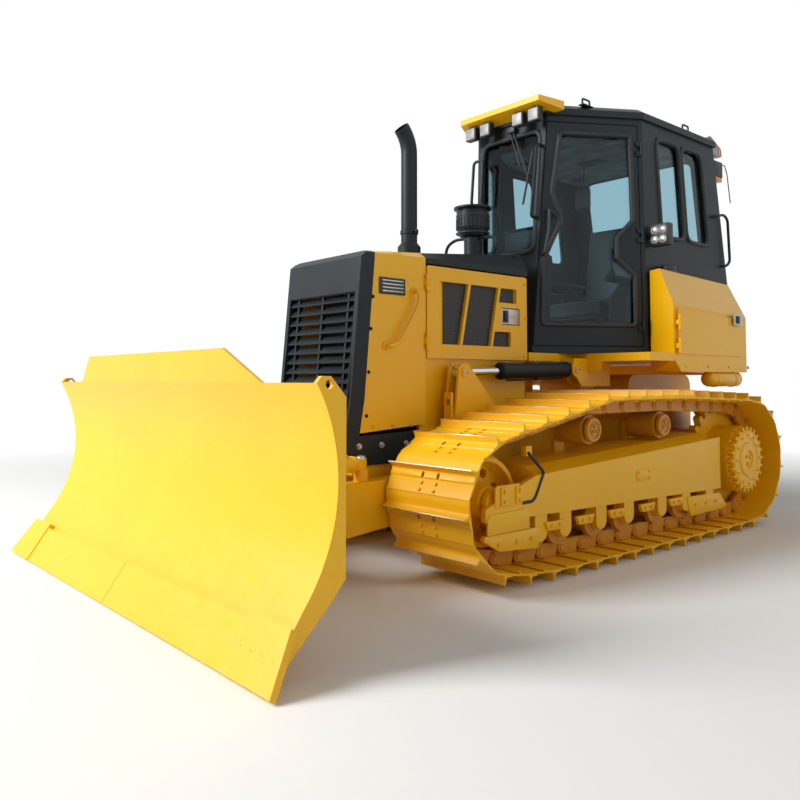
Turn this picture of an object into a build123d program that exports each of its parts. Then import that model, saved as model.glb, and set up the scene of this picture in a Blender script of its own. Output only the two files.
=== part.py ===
"""Crawler bulldozer with a closed cab and a power-angle-tilt blade, in millimetres.

X is across the machine (+X is its left), Y runs from front to rear, Z is up.
The ground is at Z = 0 and the origin is under the middle of the machine.
"""
import math
import os

from build123d import *

os.makedirs("parts", exist_ok=True)

SIDES = (("left", 1), ("right", -1))
RUN = 0.3            # running gap between a part and its seat

# ---- crawler tracks
PITCH = 190.0        # chain pitch, pin to pin
LINKS = 39
GAUGE = 1612.0       # between the two track centres
SHOE_WIDTH = 612.0
GROUSER_HEIGHT = 48.0
SHOE_THICKNESS = 10.0
PIN_TO_SHOE = 40.0   # pin centre to the inner face of the shoe
RAIL_HALF = 48.0     # pin centre to the running face of the rail
RAIL_WIDTH = 36.0
RAIL_SPREAD = 160.0  # between the centres of the two rails
GROUSER_PLACE = 0.31  # place of the grouser along its link
SPROCKET_TEETH = 25  # every second tooth carries a bushing
SPROCKET_Y = 1836.0
IDLER_RADIUS = 298.0  # pin circle
IDLER_LIFT = 26.0
CARRIER_PLACES = (120.0, 910.0)
CARRIER_Z = 760.0
ROLLER_PLACES = (-445.0, -231.0, 110.0, 400.0, 780.0, 1082.0, 1398.0)
ROLLER_LENGTH = 270.0
ROLLER_RIM = 16.0    # flange above the tread
COLLAR_RADIUS = 52.0
CARRIER_HUB = 46.0
CARRIER_HALF = 125.0

PIN_Z = GROUSER_HEIGHT + SHOE_THICKNESS + PIN_TO_SHOE
TRACK_X = GAUGE / 2
SPROCKET_RADIUS = PITCH / (2 * math.sin(2 * math.pi / SPROCKET_TEETH))
SPROCKET_Z = PIN_Z + SPROCKET_RADIUS + 2
IDLER_Z = PIN_Z + IDLER_RADIUS + IDLER_LIFT
CARRIER_TOP = CARRIER_Z + 90
ROLLER_Z = PIN_Z + RAIL_HALF + 90

# ---- track frames
FRAME_OUT = 194.0    # track centre to the outer side plate's face
FRAME_IN = 165.0
SIDE_PLATE = 30.0
FRAME_BOTTOM_FRONT = 337.0
FRAME_BOTTOM_REAR = 295.0
FRAME_FOLD_FRONT = 543.0
FRAME_FOLD_REAR = 653.0
FRAME_TOP_RISE = 40.0

# ---- main frame and its cross-members
MAIN_HALF = 340.0
MAIN_FRONT = -1235.0
MAIN_REAR = 2200.0
MAIN_BOTTOM = 420.0
MAIN_TOP = 765.0
CASE_HALF = 420.0
CASE_FRONT = 1300.0
CASE_TOP = 1100.0
CROSS_PLACES = (690.0, 1290.0)
CROSS_SIZE = 160.0

# ---- push frame, yoke and blade
TRUNNION_Y = 470.0
TRUNNION_Z = 500.0
TRUNNION_RADIUS = 45.0
ARM_IN = 385.0
ARM_OUT = 485.0
ARM_FRONT = -1380.0
NOSE_Y = -1900.0     # vertical pin on which the blade angles
NOSE_Z = 400.0
LUG_RADIUS = 80.0
LUG_HEIGHT = 130.0
BLADE_HALF = 1398.0
EDGE_HALF = 1490.0
SHOULDER_Z = 1045.0
CREST_Z = 1189.0
CREST_HALF = 772.0
CREST_FOOT = 1016.0
SHOULDER_Y = -2208.0
DEEPEST_Y = -2111.0
DEEPEST_Z = 676.0
LOW_Y = -2259.0
LOW_Z = 251.0
EDGE_Y = -2427.0
BLADE_CLEAR = 3.0    # parked cutting edge above the ground
LIP_Z = 90.0         # lower edge of the moldboard, behind the cutting edge
EDGE_SLOPE = (LOW_Y - EDGE_Y) / (LOW_Z - BLADE_CLEAR)
LIP_Y = EDGE_Y + (LIP_Z - BLADE_CLEAR) * EDGE_SLOPE
MOLDBOARD = 16.0
BLADE_BACK_Y = -2075.0
END_PLATE = 22.0

# ---- lift, angle and tilt cylinders
LIFT_X = 420.0
LIFT_ROD_Y = -492.0
LIFT_ROD_Z = 1105.0
LIFT_BASE_Y = 604.0
LIFT_BASE_Z = 1131.0
LIFT_BARREL_RADIUS = 50.0
LIFT_BARREL_LENGTH = 744.0
LIFT_ROD_RADIUS = 25.0
ANGLE_BASE = (410.0, -1230.0)
ANGLE_EYE = (560.0, -2026.0)
ANGLE_Z = 612.0
ANGLE_BARREL_RADIUS = 40.0
ANGLE_BARREL_LENGTH = 530.0
ANGLE_ROD_RADIUS = 22.0
TILT_BASE_X = -260.0
TILT_EYE_X = 260.0
TILT_Y = -2040.0
TILT_Z = 660.0
TILT_BARREL_RADIUS = 38.0
TILT_BARREL_LENGTH = 330.0
TILT_ROD_RADIUS = 20.0
LIFT_EYE = 60.0      # width of an eye between its ears
ANGLE_EYE_WIDTH = 54.0
TILT_EYE = 50.0
LIFT_EARS = 52.0     # radius of the ears
ANGLE_EARS = 40.0
TILT_EARS = 46.0
EAR = 18.0           # thickness of a clevis ear
PIN_CAP = 8.0
BORE_FLOOR = 10.0    # from the ears to the closed end of a barrel's bore
TILT_PIN = 45.0      # pin on which the blade tilts in its yoke

# ---- hood
HOOD_HALF = 355.0
HINGE_Y = -703.0
HOOD_REAR = 220.0
DOOR_REAR = 212.0
DOOR_BOTTOM = 1186.0
DOOR_TOP = 1736.0
HOOD_SEAT = DOOR_TOP + 10
PANEL_BOTTOM = 801.0
PANEL = 30.0         # thickness of the hood's panels and doors
ENGINE_TOP = 1380.0
ENGINE_HINGES = (1285.0, 1632.0)
GRILLE_TOP = 1545.0
GRILLE_BOTTOM = 800.0
GRILLE_HALF = 322.0
SLATS = 13
GRILLE_POST = 248.0  # side posts of the grille, from the middle
NOSE_FOOT_Y = -1293.0
NOSE_KNEE_Y = -1258.0
NOSE_TOP_Y = -1187.0
NOSE_FOOT_Z = 751.0
NOSE_KNEE_Z = 949.0
NOSE_TOP_Z = 1741.0
HOOD_TOP_FRONT = 1800.0
HOOD_TOP_REAR = 1900.0
EXHAUST_Y = -520.0
EXHAUST_RADIUS = 52.0
EXHAUST_TOP = 2640.0
EXHAUST_COLLAR = 74.0
EXHAUST_FOOT = 1840.0
CLEANER_Y = 70.0
CLEANER_RADIUS = 113.0
CLEANER_Z = 2047.0
CLEANER_FOOT = 1897.0
GUARD_REAR = -790.0
GUARD_FOOT = 590.0

# ---- cab
CAB_FLOOR = 1240.0
CAB_EAVES = 2915.0
ROOF_TOP = CAB_EAVES + 85
WALL = 50.0
CAB_FRONT_HALF = (263.0, 327.0)   # low, high
CAB_FRONT_Y = (373.0, 482.0)
CAB_POST = ((712.0, 1095.0), (702.0, 1080.0))
CAB_REAR_HALF = (712.0, 702.0)
CAB_REAR_Y = (2392.0, 2110.0)
GLASS = 6.0
GLASS_DEPTH = 20.0
GAP = 6.0            # shut line round a door

# ---- platform and tanks
DOOR_EDGE = ((-121.0, 695.0), (-2.0, 672.0))    # cab door's front and rear edges, low, high
DOOR_SILL = 1290.0
DOOR_HEAD = CAB_EAVES - 45
CAB_HINGES = (1450.0, 2080.0, DOOR_HEAD - 170)
HINGE_ALONG = 692.0  # hinge axis along the door's plane, from the cab's front corner
HINGE_OUT = 14.0     # and out of it
HINGE_RADIUS = 11.0
HINGE_LIFT = 3.0     # leaf clear of the face beside it
DOOR_LEAF = (-38.0, -12.0)       # reach of a leaf from the axis, and of its weld
POST_LEAF = (14.0, 8.0)
KNUCKLE = 34.0
SCREEN_FOOT = 1950.0
SCREEN_HEAD = CAB_EAVES - 95

DECK_BOTTOM = 1186.0
STEP_Y = 720.0
STEP_HALF = 955.0
TANK_IN = 722.0
TANK_OUT = 955.0
TANK_FRONT = 1020.0   # at its outer side; it slants back inwards
TANK_SLANT = 100.0
TANK_REAR = 2070.0
TANK_BOTTOM = 1115.0
TANK_FOLD = (1580.0, 1530.0)
TANK_TOP = (1835.0, 1795.0)
TANK_TOP_OUT = 822.0
TANK_WALL = 20.0
TANK_DOOR_Y = (1060.0, 1970.0)
TANK_DOOR_Z = (1235.0, 1545.0, 1505.0)   # bottom, top in front, top at the rear
TANK_DOOR = 14.0
TANK_HINGES = (1290.0, 1450.0)
TANK_HINGE_OFFSET = 6.0   # hinge axis ahead of the door's edge
LOCKER_DEPTH = 150.0
REAR_TANK_HALF = 560.0
REAR_TANK_BACK = 2465.0


# ---------------------------------------------------------------- chain path
def belt_discs(idler_y):
    """Discs that the pin line wraps, counter-clockwise seen from the left side."""
    carriers = [(y, CARRIER_Z, CARRIER_TOP + RAIL_HALF - CARRIER_Z) for y in reversed(CARRIER_PLACES)]
    sprocket = (SPROCKET_Y, SPROCKET_Z, SPROCKET_RADIUS)
    idler = (idler_y, IDLER_Z, IDLER_RADIUS)
    ground = [(y, ROLLER_Z, ROLLER_Z - PIN_Z) for y in (ROLLER_PLACES[0], ROLLER_PLACES[-1])]
    return [sprocket] + carriers + [idler] + ground


def belt_pieces(idler_y):
    """Straight runs and arcs of the pin line, each with its length."""
    discs = belt_discs(idler_y)
    tangents = []
    for first, second in zip(discs, discs[1:] + discs[:1]):
        reach = math.hypot(second[0] - first[0], second[1] - first[1])
        heading = math.atan2(second[1] - first[1], second[0] - first[0])
        normal = heading - math.pi / 2 + math.asin((first[2] - second[2]) / reach)
        tangents.append((normal, math.sqrt(reach ** 2 - (first[2] - second[2]) ** 2)))
    pieces = []
    for index, disc in enumerate(discs):
        before = tangents[index - 1][0]
        turn = (tangents[index][0] - before) % (2 * math.pi)
        pieces.append(("arc", disc, before, turn * disc[2]))
        pieces.append(("run", disc, tangents[index][0], tangents[index][1]))
    return pieces


def belt_length(idler_y):
    return sum(piece[3] for piece in belt_pieces(idler_y))


def close_idler():
    """Place of the idler at which the path holds a whole number of links."""
    near, far = -400.0, -1200.0
    for _ in range(40):
        middle = (near + far) / 2
        if belt_length(middle) < PITCH * LINKS:
            near = middle
        else:
            far = middle
    return (near + far) / 2


def belt_point(pieces, distance):
    for kind, disc, normal, length in pieces:
        if distance <= length:
            break
        distance -= length
    y, z, radius = disc
    if kind == "arc":
        angle = normal + distance / radius
        return (y + radius * math.cos(angle), z + radius * math.sin(angle))
    return (
        y + radius * math.cos(normal) - distance * math.sin(normal),
        z + radius * math.sin(normal) + distance * math.cos(normal),
    )


IDLER_Y = close_idler()
PIECES = belt_pieces(IDLER_Y)
PATH = sum(piece[3] for piece in PIECES)
PHASE = 87.0         # first pin's place along the path
PINS = [belt_point(PIECES, (PHASE + PATH * k / LINKS) % PATH) for k in range(LINKS)]


def beside(index, depth):
    """Point beside a pin, on the outside of the loop, where two links' faces meet."""
    before, here, after = PINS[index - 1], PINS[index], PINS[(index + 1) % LINKS]
    first = math.atan2(here[1] - before[1], here[0] - before[0])
    second = math.atan2(after[1] - here[1], after[0] - here[0])
    half = ((second - first + math.pi) % (2 * math.pi) - math.pi) / 2
    angle = first + half - math.pi / 2
    reach = depth / math.cos(half)
    return (here[0] + reach * math.cos(angle), here[1] + reach * math.sin(angle))


def clear_radius(y, z):
    """Largest roller at (y, z) that the rails' running faces leave room for."""
    nearest = []
    for index, here in enumerate(PINS):
        after = PINS[(index + 1) % LINKS]
        run = (after[0] - here[0], after[1] - here[1])
        across = run[0] * (z - here[1]) - run[1] * (y - here[0])
        nearest.append(across / math.hypot(*run))
    return min(nearest) - RAIL_HALF - RUN


# outline of the loop: along each link the shoe's face, then its grouser
# columns: share of the link's length, height above the pin line
SHOE_FACE = PIN_TO_SHOE + SHOE_THICKNESS
SHOE_TIP = SHOE_FACE + GROUSER_HEIGHT
SHOE_OUTLINE = (
    (0.02, SHOE_FACE),
    (GROUSER_PLACE - 0.07, SHOE_FACE),
    (GROUSER_PLACE - 0.03, SHOE_TIP),
    (GROUSER_PLACE + 0.03, SHOE_TIP),
    (GROUSER_PLACE + 0.07, SHOE_FACE),
    (0.98, SHOE_FACE),
)
LOOP = []
for index, (pin_y, pin_z) in enumerate(PINS):
    after_y, after_z = PINS[(index + 1) % LINKS]
    span = math.hypot(after_y - pin_y, after_z - pin_z)
    along = ((after_y - pin_y) / span, (after_z - pin_z) / span)
    for share, height in SHOE_OUTLINE:
        LOOP.append((
            pin_y + along[0] * share * span + along[1] * height,
            pin_z + along[1] * share * span - along[0] * height,
        ))
SHOE_INNER = [beside(index, PIN_TO_SHOE) for index in range(LINKS)]
RAIL_INNER = [beside(index, -RAIL_HALF) for index in range(LINKS)]


def save(piece, name):
    """Label one finished piece and write it."""
    piece.part.label = name
    export_step(piece.part, "parts/" + name + ".step")


# ---------------------------------------------------------------- tracks
for side, s in SIDES:
    with BuildPart() as track:
        with BuildSketch(Plane.YZ.offset(s * TRACK_X)):
            Polygon(*LOOP, align=None)
            Polygon(*SHOE_INNER, align=None, mode=Mode.SUBTRACT)
        extrude(amount=SHOE_WIDTH / 2, both=True)
        for rail in (-1, 1):
            with BuildSketch(Plane.YZ.offset(s * TRACK_X + rail * RAIL_SPREAD / 2)):
                Polygon(*SHOE_INNER, align=None)
                Polygon(*RAIL_INNER, align=None, mode=Mode.SUBTRACT)
            extrude(amount=RAIL_WIDTH / 2, both=True)
    save(track, "track_" + side)

# ---------------------------------------------------------------- rollers, idlers, sprockets
ROLLER_RADIUS = min(clear_radius(y, ROLLER_Z) for y in ROLLER_PLACES)
FLANGE = RAIL_SPREAD / 2 + RAIL_WIDTH / 2 + 3
IDLER_TREAD = clear_radius(IDLER_Y, IDLER_Z)
IDLER_GUIDE = RAIL_SPREAD / 2 - RAIL_WIDTH / 2 - 6


with BuildPart() as rollers:
    for side, s in SIDES:
        for y in ROLLER_PLACES:
            with BuildSketch(Plane.YZ.offset(s * TRACK_X)):
                with Locations((y, ROLLER_Z)):
                    Circle(ROLLER_RADIUS)
            extrude(amount=FLANGE, both=True)
            for edge in (-1, 1):
                with BuildSketch(Plane.YZ.offset(s * TRACK_X + edge * FLANGE)):
                    with Locations((y, ROLLER_Z)):
                        Circle(ROLLER_RADIUS + ROLLER_RIM)
                extrude(amount=edge * (ROLLER_LENGTH / 2 - FLANGE))
        for y in CARRIER_PLACES:
            with BuildSketch(Plane.YZ.offset(s * TRACK_X)):
                with Locations((y, CARRIER_Z)):
                    Circle(clear_radius(y, CARRIER_Z))
            extrude(amount=RAIL_SPREAD / 2 + RAIL_WIDTH / 2, both=True)
            with BuildSketch(Plane.YZ.offset(s * TRACK_X)):
                with Locations((y, CARRIER_Z)):
                    Circle(CARRIER_HUB)
            extrude(amount=CARRIER_HALF, both=True)
save(rollers, "rollers")

with BuildPart() as idlers:
    for side, s in SIDES:
        for radius, half in (
            (IDLER_TREAD, FLANGE - 3),
            (IDLER_TREAD + 22, IDLER_GUIDE),
            (80, FRAME_IN - SIDE_PLATE),
        ):
            with BuildSketch(Plane.YZ.offset(s * TRACK_X)):
                with Locations((IDLER_Y, IDLER_Z)):
                    Circle(radius)
            extrude(amount=half, both=True)
save(idlers, "idlers")

# sprocket: toothed ring, its cover drum, and the drive's housing back to the main case
RING_HALF = 26.0
TOOTH_ROOT = SPROCKET_RADIUS - 34
TOOTH_TIP = SPROCKET_RADIUS + 16
COVER_RADIUS = 240.0
COVER_FACE = 250.0   # track centre to the cover's outer face
TEETH = []
for k in range(SPROCKET_TEETH):
    for part, radius in ((-0.36, TOOTH_ROOT), (-0.16, TOOTH_TIP), (0.16, TOOTH_TIP), (0.36, TOOTH_ROOT)):
        turn = 2 * math.pi * (k + part) / SPROCKET_TEETH
        TEETH.append((SPROCKET_Y + radius * math.cos(turn), SPROCKET_Z + radius * math.sin(turn)))
with BuildPart() as final_drives:
    for side, s in SIDES:
        with BuildSketch(Plane.YZ.offset(s * TRACK_X)):
            Polygon(*TEETH, align=None)
        extrude(amount=RING_HALF, both=True)
        for radius, near, far in (
            (COVER_RADIUS, 0, COVER_FACE - 40),
            (COVER_RADIUS - 30, COVER_FACE - 40, COVER_FACE),
            (200, -(TRACK_X - CASE_HALF), 0),
        ):
            with BuildSketch(Plane.YZ.offset(s * (TRACK_X + near))):
                with Locations((SPROCKET_Y, SPROCKET_Z)):
                    Circle(radius)
            extrude(amount=s * (far - near))
save(final_drives, "final_drives")

# ---------------------------------------------------------------- track frames
PLATE_FRONT = IDLER_Y - 105
PLATE_REAR = SPROCKET_Y - COVER_RADIUS - 60
BOX_FRONT = IDLER_Y + IDLER_TREAD + 60
BOX_REAR = SPROCKET_Y - TOOTH_TIP - 30


def frame_bottom(y):
    share = (y - PLATE_FRONT) / (PLATE_REAR - PLATE_FRONT)
    return FRAME_BOTTOM_FRONT + share * (FRAME_BOTTOM_REAR - FRAME_BOTTOM_FRONT)


def frame_fold(y):
    share = (y - BOX_FRONT) / (PLATE_REAR - BOX_FRONT)
    return FRAME_FOLD_FRONT + share * (FRAME_FOLD_REAR - FRAME_FOLD_FRONT)


ROLLER_ROOM = ROLLER_Z + ROLLER_RADIUS + ROLLER_RIM + 8
SHOULDER_IN = FRAME_OUT - 90


def beam_section(y):
    """Section of the beam across the machine: distance from the track centre, height."""
    bottom, fold = frame_bottom(y), frame_fold(y)
    return [
        (-FRAME_IN, bottom), (-ROLLER_LENGTH / 2, bottom), (-ROLLER_LENGTH / 2, ROLLER_ROOM),
        (ROLLER_LENGTH / 2, ROLLER_ROOM), (ROLLER_LENGTH / 2, bottom), (FRAME_OUT, bottom),
        (FRAME_OUT, fold), (SHOULDER_IN, fold + FRAME_TOP_RISE), (-FRAME_IN, fold + FRAME_TOP_RISE),
    ]


for side, s in SIDES:
    with BuildPart() as track_frame:
        # beam over the rollers, its upper outer edge sloped
        for y in (BOX_FRONT, BOX_REAR):
            with BuildSketch(Plane.XZ.offset(-y)):
                Polygon(*[(s * (TRACK_X + across), z) for across, z in beam_section(y)], align=None)
        loft(ruled=True)
        # side plates that reach forward past the idler
        for face, plate_rear in ((FRAME_OUT - SIDE_PLATE, PLATE_REAR), (-FRAME_IN, BOX_REAR)):
            with BuildSketch(Plane.YZ.offset(s * (TRACK_X + face))):
                Polygon(
                    (PLATE_FRONT, frame_bottom(PLATE_FRONT)), (plate_rear, frame_bottom(plate_rear)),
                    (plate_rear, frame_fold(plate_rear)), (BOX_FRONT, frame_fold(BOX_FRONT)),
                    (IDLER_Y + 150, IDLER_Z + 75), (PLATE_FRONT, IDLER_Z - 20), align=None)
            extrude(amount=s * SIDE_PLATE)
        # bearing of the idler, between its hub and the side plates
        with BuildSketch(Plane.YZ.offset(s * (TRACK_X + FRAME_IN - SIDE_PLATE))):
            with Locations((IDLER_Y, IDLER_Z)):
                Circle(70)
        extrude(amount=s * (FRAME_OUT - FRAME_IN))
        # roller collars, against the rollers' end faces
        for y in ROLLER_PLACES:
            for face, reach in ((ROLLER_LENGTH / 2, FRAME_OUT - ROLLER_LENGTH / 2 - 10),
                                (-FRAME_IN, FRAME_IN - ROLLER_LENGTH / 2)):
                with BuildSketch(Plane.YZ.offset(s * (TRACK_X + face))):
                    with Locations((y, ROLLER_Z)):
                        Circle(COLLAR_RADIUS)
                    with Locations((y, (ROLLER_Z + ROLLER_ROOM) / 2)):
                        Rectangle(2 * COLLAR_RADIUS, ROLLER_ROOM - ROLLER_Z)
                extrude(amount=s * reach)
        # posts of the carrier rollers
        for y in CARRIER_PLACES:
            with BuildSketch(Plane.YZ.offset(s * (TRACK_X - FRAME_IN))):
                with Locations((y, CARRIER_Z)):
                    Circle(CARRIER_HUB)
                with Locations((y, (CARRIER_Z + frame_fold(y)) / 2)):
                    Rectangle(2 * CARRIER_HUB, CARRIER_Z - frame_fold(y))
            extrude(amount=s * (FRAME_IN - CARRIER_HALF))
    save(track_frame, "track_frame_" + side)

# ---------------------------------------------------------------- main frame
with BuildPart() as main_frame:
    with BuildSketch(Plane.YZ):
        Polygon(
            (MAIN_FRONT, MAIN_BOTTOM + 120), (MAIN_FRONT + 260, MAIN_BOTTOM), (MAIN_REAR - 200, MAIN_BOTTOM),
            (MAIN_REAR, MAIN_BOTTOM + 160), (MAIN_REAR, MAIN_TOP), (GUARD_REAR, MAIN_TOP), (GUARD_REAR, GUARD_FOOT),
            (MAIN_FRONT, GUARD_FOOT), align=None)
    extrude(amount=MAIN_HALF, both=True)
    with BuildSketch(Plane.YZ):
        Polygon(
            (MAIN_FRONT + 60, MAIN_BOTTOM + 160), (MAIN_FRONT + 300, MAIN_BOTTOM + 60),
            (CASE_FRONT, MAIN_BOTTOM + 60), (CASE_FRONT, MAIN_TOP + 10), (MAIN_FRONT + 60, MAIN_TOP + 10),
            align=None)
    extrude(amount=MAIN_HALF - 40, both=True, mode=Mode.SUBTRACT)
    # transmission and axle case
    with BuildSketch(Plane.YZ):
        with Locations(((CASE_FRONT + MAIN_REAR) / 2, (MAIN_BOTTOM - 60 + CASE_TOP) / 2)):
            RectangleRounded(MAIN_REAR - CASE_FRONT, CASE_TOP - MAIN_BOTTOM + 60, 90)
    extrude(amount=CASE_HALF, both=True)
    # cross-members that carry the track frames
    for y in CROSS_PLACES:
        with Locations((0, y, MAIN_BOTTOM + 80)):
            Box(2 * (TRACK_X - FRAME_IN), CROSS_SIZE, CROSS_SIZE)
    # trunnions of the push frame
    for side, s in SIDES:
        with BuildSketch(Plane.YZ.offset(s * MAIN_HALF)):
            with Locations((TRUNNION_Y, TRUNNION_Z)):
                Circle(TRUNNION_RADIUS + 30)
        extrude(amount=s * (ARM_IN - RUN - MAIN_HALF))
        with BuildSketch(Plane.YZ.offset(s * ARM_IN)):
            with Locations((TRUNNION_Y, TRUNNION_Z)):
                Circle(TRUNNION_RADIUS)
        extrude(amount=s * (ARM_OUT + 2 - ARM_IN), both=True)
    # drawbar at the rear
    with BuildSketch(Plane.XY.offset(MAIN_BOTTOM + 40)):
        with Locations((0, MAIN_REAR + 115)):
            Rectangle(160, 250)
        with Locations((0, MAIN_REAR + 165)):
            Circle(33, mode=Mode.SUBTRACT)
    extrude(amount=50)
save(main_frame, "main_frame")

# ---------------------------------------------------------------- push frame
ARM_MID = (ARM_IN + ARM_OUT) / 2
with BuildPart() as c_frame:
    for side, s in SIDES:
        with BuildSketch(Plane.YZ.offset(s * ARM_IN)):
            Polygon(
                (ARM_FRONT, 245), (ARM_FRONT, 515), (TRUNNION_Y - 120, TRUNNION_Z + 88),
                (TRUNNION_Y, TRUNNION_Z + 88), (TRUNNION_Y, TRUNNION_Z - 88), (TRUNNION_Y - 200, TRUNNION_Z - 88),
                align=None)
            with Locations((TRUNNION_Y, TRUNNION_Z)):
                Circle(88)
        extrude(amount=s * (ARM_OUT - ARM_IN))
        # tower that carries the lift rod
        for edge in (-1, 1):
            with BuildSketch(Plane.YZ.offset(s * LIFT_X + edge * (LIFT_EYE / 2 + RUN))):
                with Locations((LIFT_ROD_Y, LIFT_ROD_Z)):
                    Circle(LIFT_EARS)
                Polygon(
                    (LIFT_ROD_Y - 120, 520), (LIFT_ROD_Y + 400, 545), (LIFT_ROD_Y + 380, 780),
                    (LIFT_ROD_Y + 50, LIFT_ROD_Z + 25), (LIFT_ROD_Y - 50, LIFT_ROD_Z + 25), align=None)
            extrude(amount=edge * EAR)
            with BuildSketch(Plane.YZ.offset(s * LIFT_X + edge * (LIFT_EYE / 2 + EAR))):
                with Locations((LIFT_ROD_Y, LIFT_ROD_Z)):
                    Circle(34)
            extrude(amount=edge * PIN_CAP)
        # web between the tower's plates, with a hole for the lifting hook
        with BuildSketch(Plane.XZ.offset(100 - LIFT_ROD_Y)):
            with Locations((s * LIFT_X, 750)):
                Rectangle(LIFT_EYE + 2, 470)
            with Locations((s * LIFT_X, 928)):
                Circle(20, mode=Mode.SUBTRACT)
        extrude(amount=-16)
    with BuildSketch(Plane.XY.offset(260)):
        Polygon(
            (ARM_OUT, ARM_FRONT + 60), (ARM_OUT, ARM_FRONT), (130, NOSE_Y + 100), (-130, NOSE_Y + 100),
            (-ARM_OUT, ARM_FRONT), (-ARM_OUT, ARM_FRONT + 60), (-ARM_IN, ARM_FRONT + 60),
            (-ARM_IN, ARM_FRONT + 20), (-160, NOSE_Y + 320), (160, NOSE_Y + 320), (ARM_IN, ARM_FRONT + 20),
            (ARM_IN, ARM_FRONT + 60), align=None)
    extrude(amount=245)
    with BuildSketch(Plane.XY.offset(NOSE_Z - LUG_HEIGHT / 2)):
        with Locations((0, NOSE_Y)):
            Circle(LUG_RADIUS)
        with Locations((0, NOSE_Y + 60)):
            Rectangle(2 * LUG_RADIUS, 120)
    extrude(amount=LUG_HEIGHT)
    for side, s in SIDES:
        with BuildSketch(Plane.YZ.offset(s * (ARM_IN - 5))):
            with Locations((TRUNNION_Y, TRUNNION_Z)):
                Circle(TRUNNION_RADIUS + 0.05)
        extrude(amount=s * (ARM_OUT - ARM_IN + 10), mode=Mode.SUBTRACT)
        # foot of the angle cylinder
        with BuildSketch(Plane.XY.offset(500)):
            with Locations((s * ANGLE_BASE[0], ANGLE_BASE[1])):
                Circle(ANGLE_EARS)
        extrude(amount=ANGLE_Z - ANGLE_EYE_WIDTH / 2 - RUN - 500)
save(c_frame, "c_frame")

# ---------------------------------------------------------------- yoke
YOKE_BACK = NOSE_Y - LUG_RADIUS - 10
YOKE_FRONT = BLADE_BACK_Y + 12
with BuildPart() as yoke:
    with Locations((0, (YOKE_BACK + YOKE_FRONT) / 2, NOSE_Z)):
        Box(2 * ANGLE_EYE[0] + 100, YOKE_BACK - YOKE_FRONT, 170)
    for edge in (-1, 1):
        with BuildSketch(Plane.XY.offset(NOSE_Z + edge * (LUG_HEIGHT / 2 + RUN))):
            with Locations((0, NOSE_Y)):
                Circle(LUG_RADIUS - 4)
            with Locations((0, (NOSE_Y + YOKE_BACK) / 2 - 5)):
                Rectangle(2 * LUG_RADIUS - 8, NOSE_Y - YOKE_BACK + 10)
        extrude(amount=edge * 40)
    # stand of the angle rod's eye, square below the barrel's reach and round above it
    for side, s in SIDES:
        with BuildSketch(Plane.XY.offset(NOSE_Z)):
            with Locations((s * ANGLE_EYE[0], (YOKE_BACK + YOKE_FRONT) / 2)):
                Rectangle(90, YOKE_BACK - YOKE_FRONT)
        extrude(amount=ANGLE_Z - ANGLE_BARREL_RADIUS - 14 - NOSE_Z)
        with BuildSketch(Plane.XY.offset(NOSE_Z)):
            with Locations((s * ANGLE_EYE[0], ANGLE_EYE[1])):
                Circle(ANGLE_EARS - 10)
        extrude(amount=ANGLE_Z - ANGLE_EYE_WIDTH / 2 - RUN - NOSE_Z)
    # bore of the tilt pin
    with BuildSketch(Plane.XZ.offset(1 - YOKE_FRONT)):
        with Locations((0, NOSE_Z)):
            Circle(TILT_PIN + RUN)
    extrude(amount=YOKE_FRONT - YOKE_BACK - 2, mode=Mode.SUBTRACT)
    # post of the tilt cylinder
    with BuildSketch(Plane.XZ.offset(-(TILT_Y + TILT_EYE / 2 + RUN))):
        with Locations((TILT_BASE_X, TILT_Z)):
            Circle(TILT_EARS)
        with Locations((TILT_BASE_X, (NOSE_Z + TILT_Z) / 2)):
            Rectangle(2 * TILT_EARS, TILT_Z - NOSE_Z)
    extrude(amount=-EAR)
save(yoke, "blade_yoke")

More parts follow.
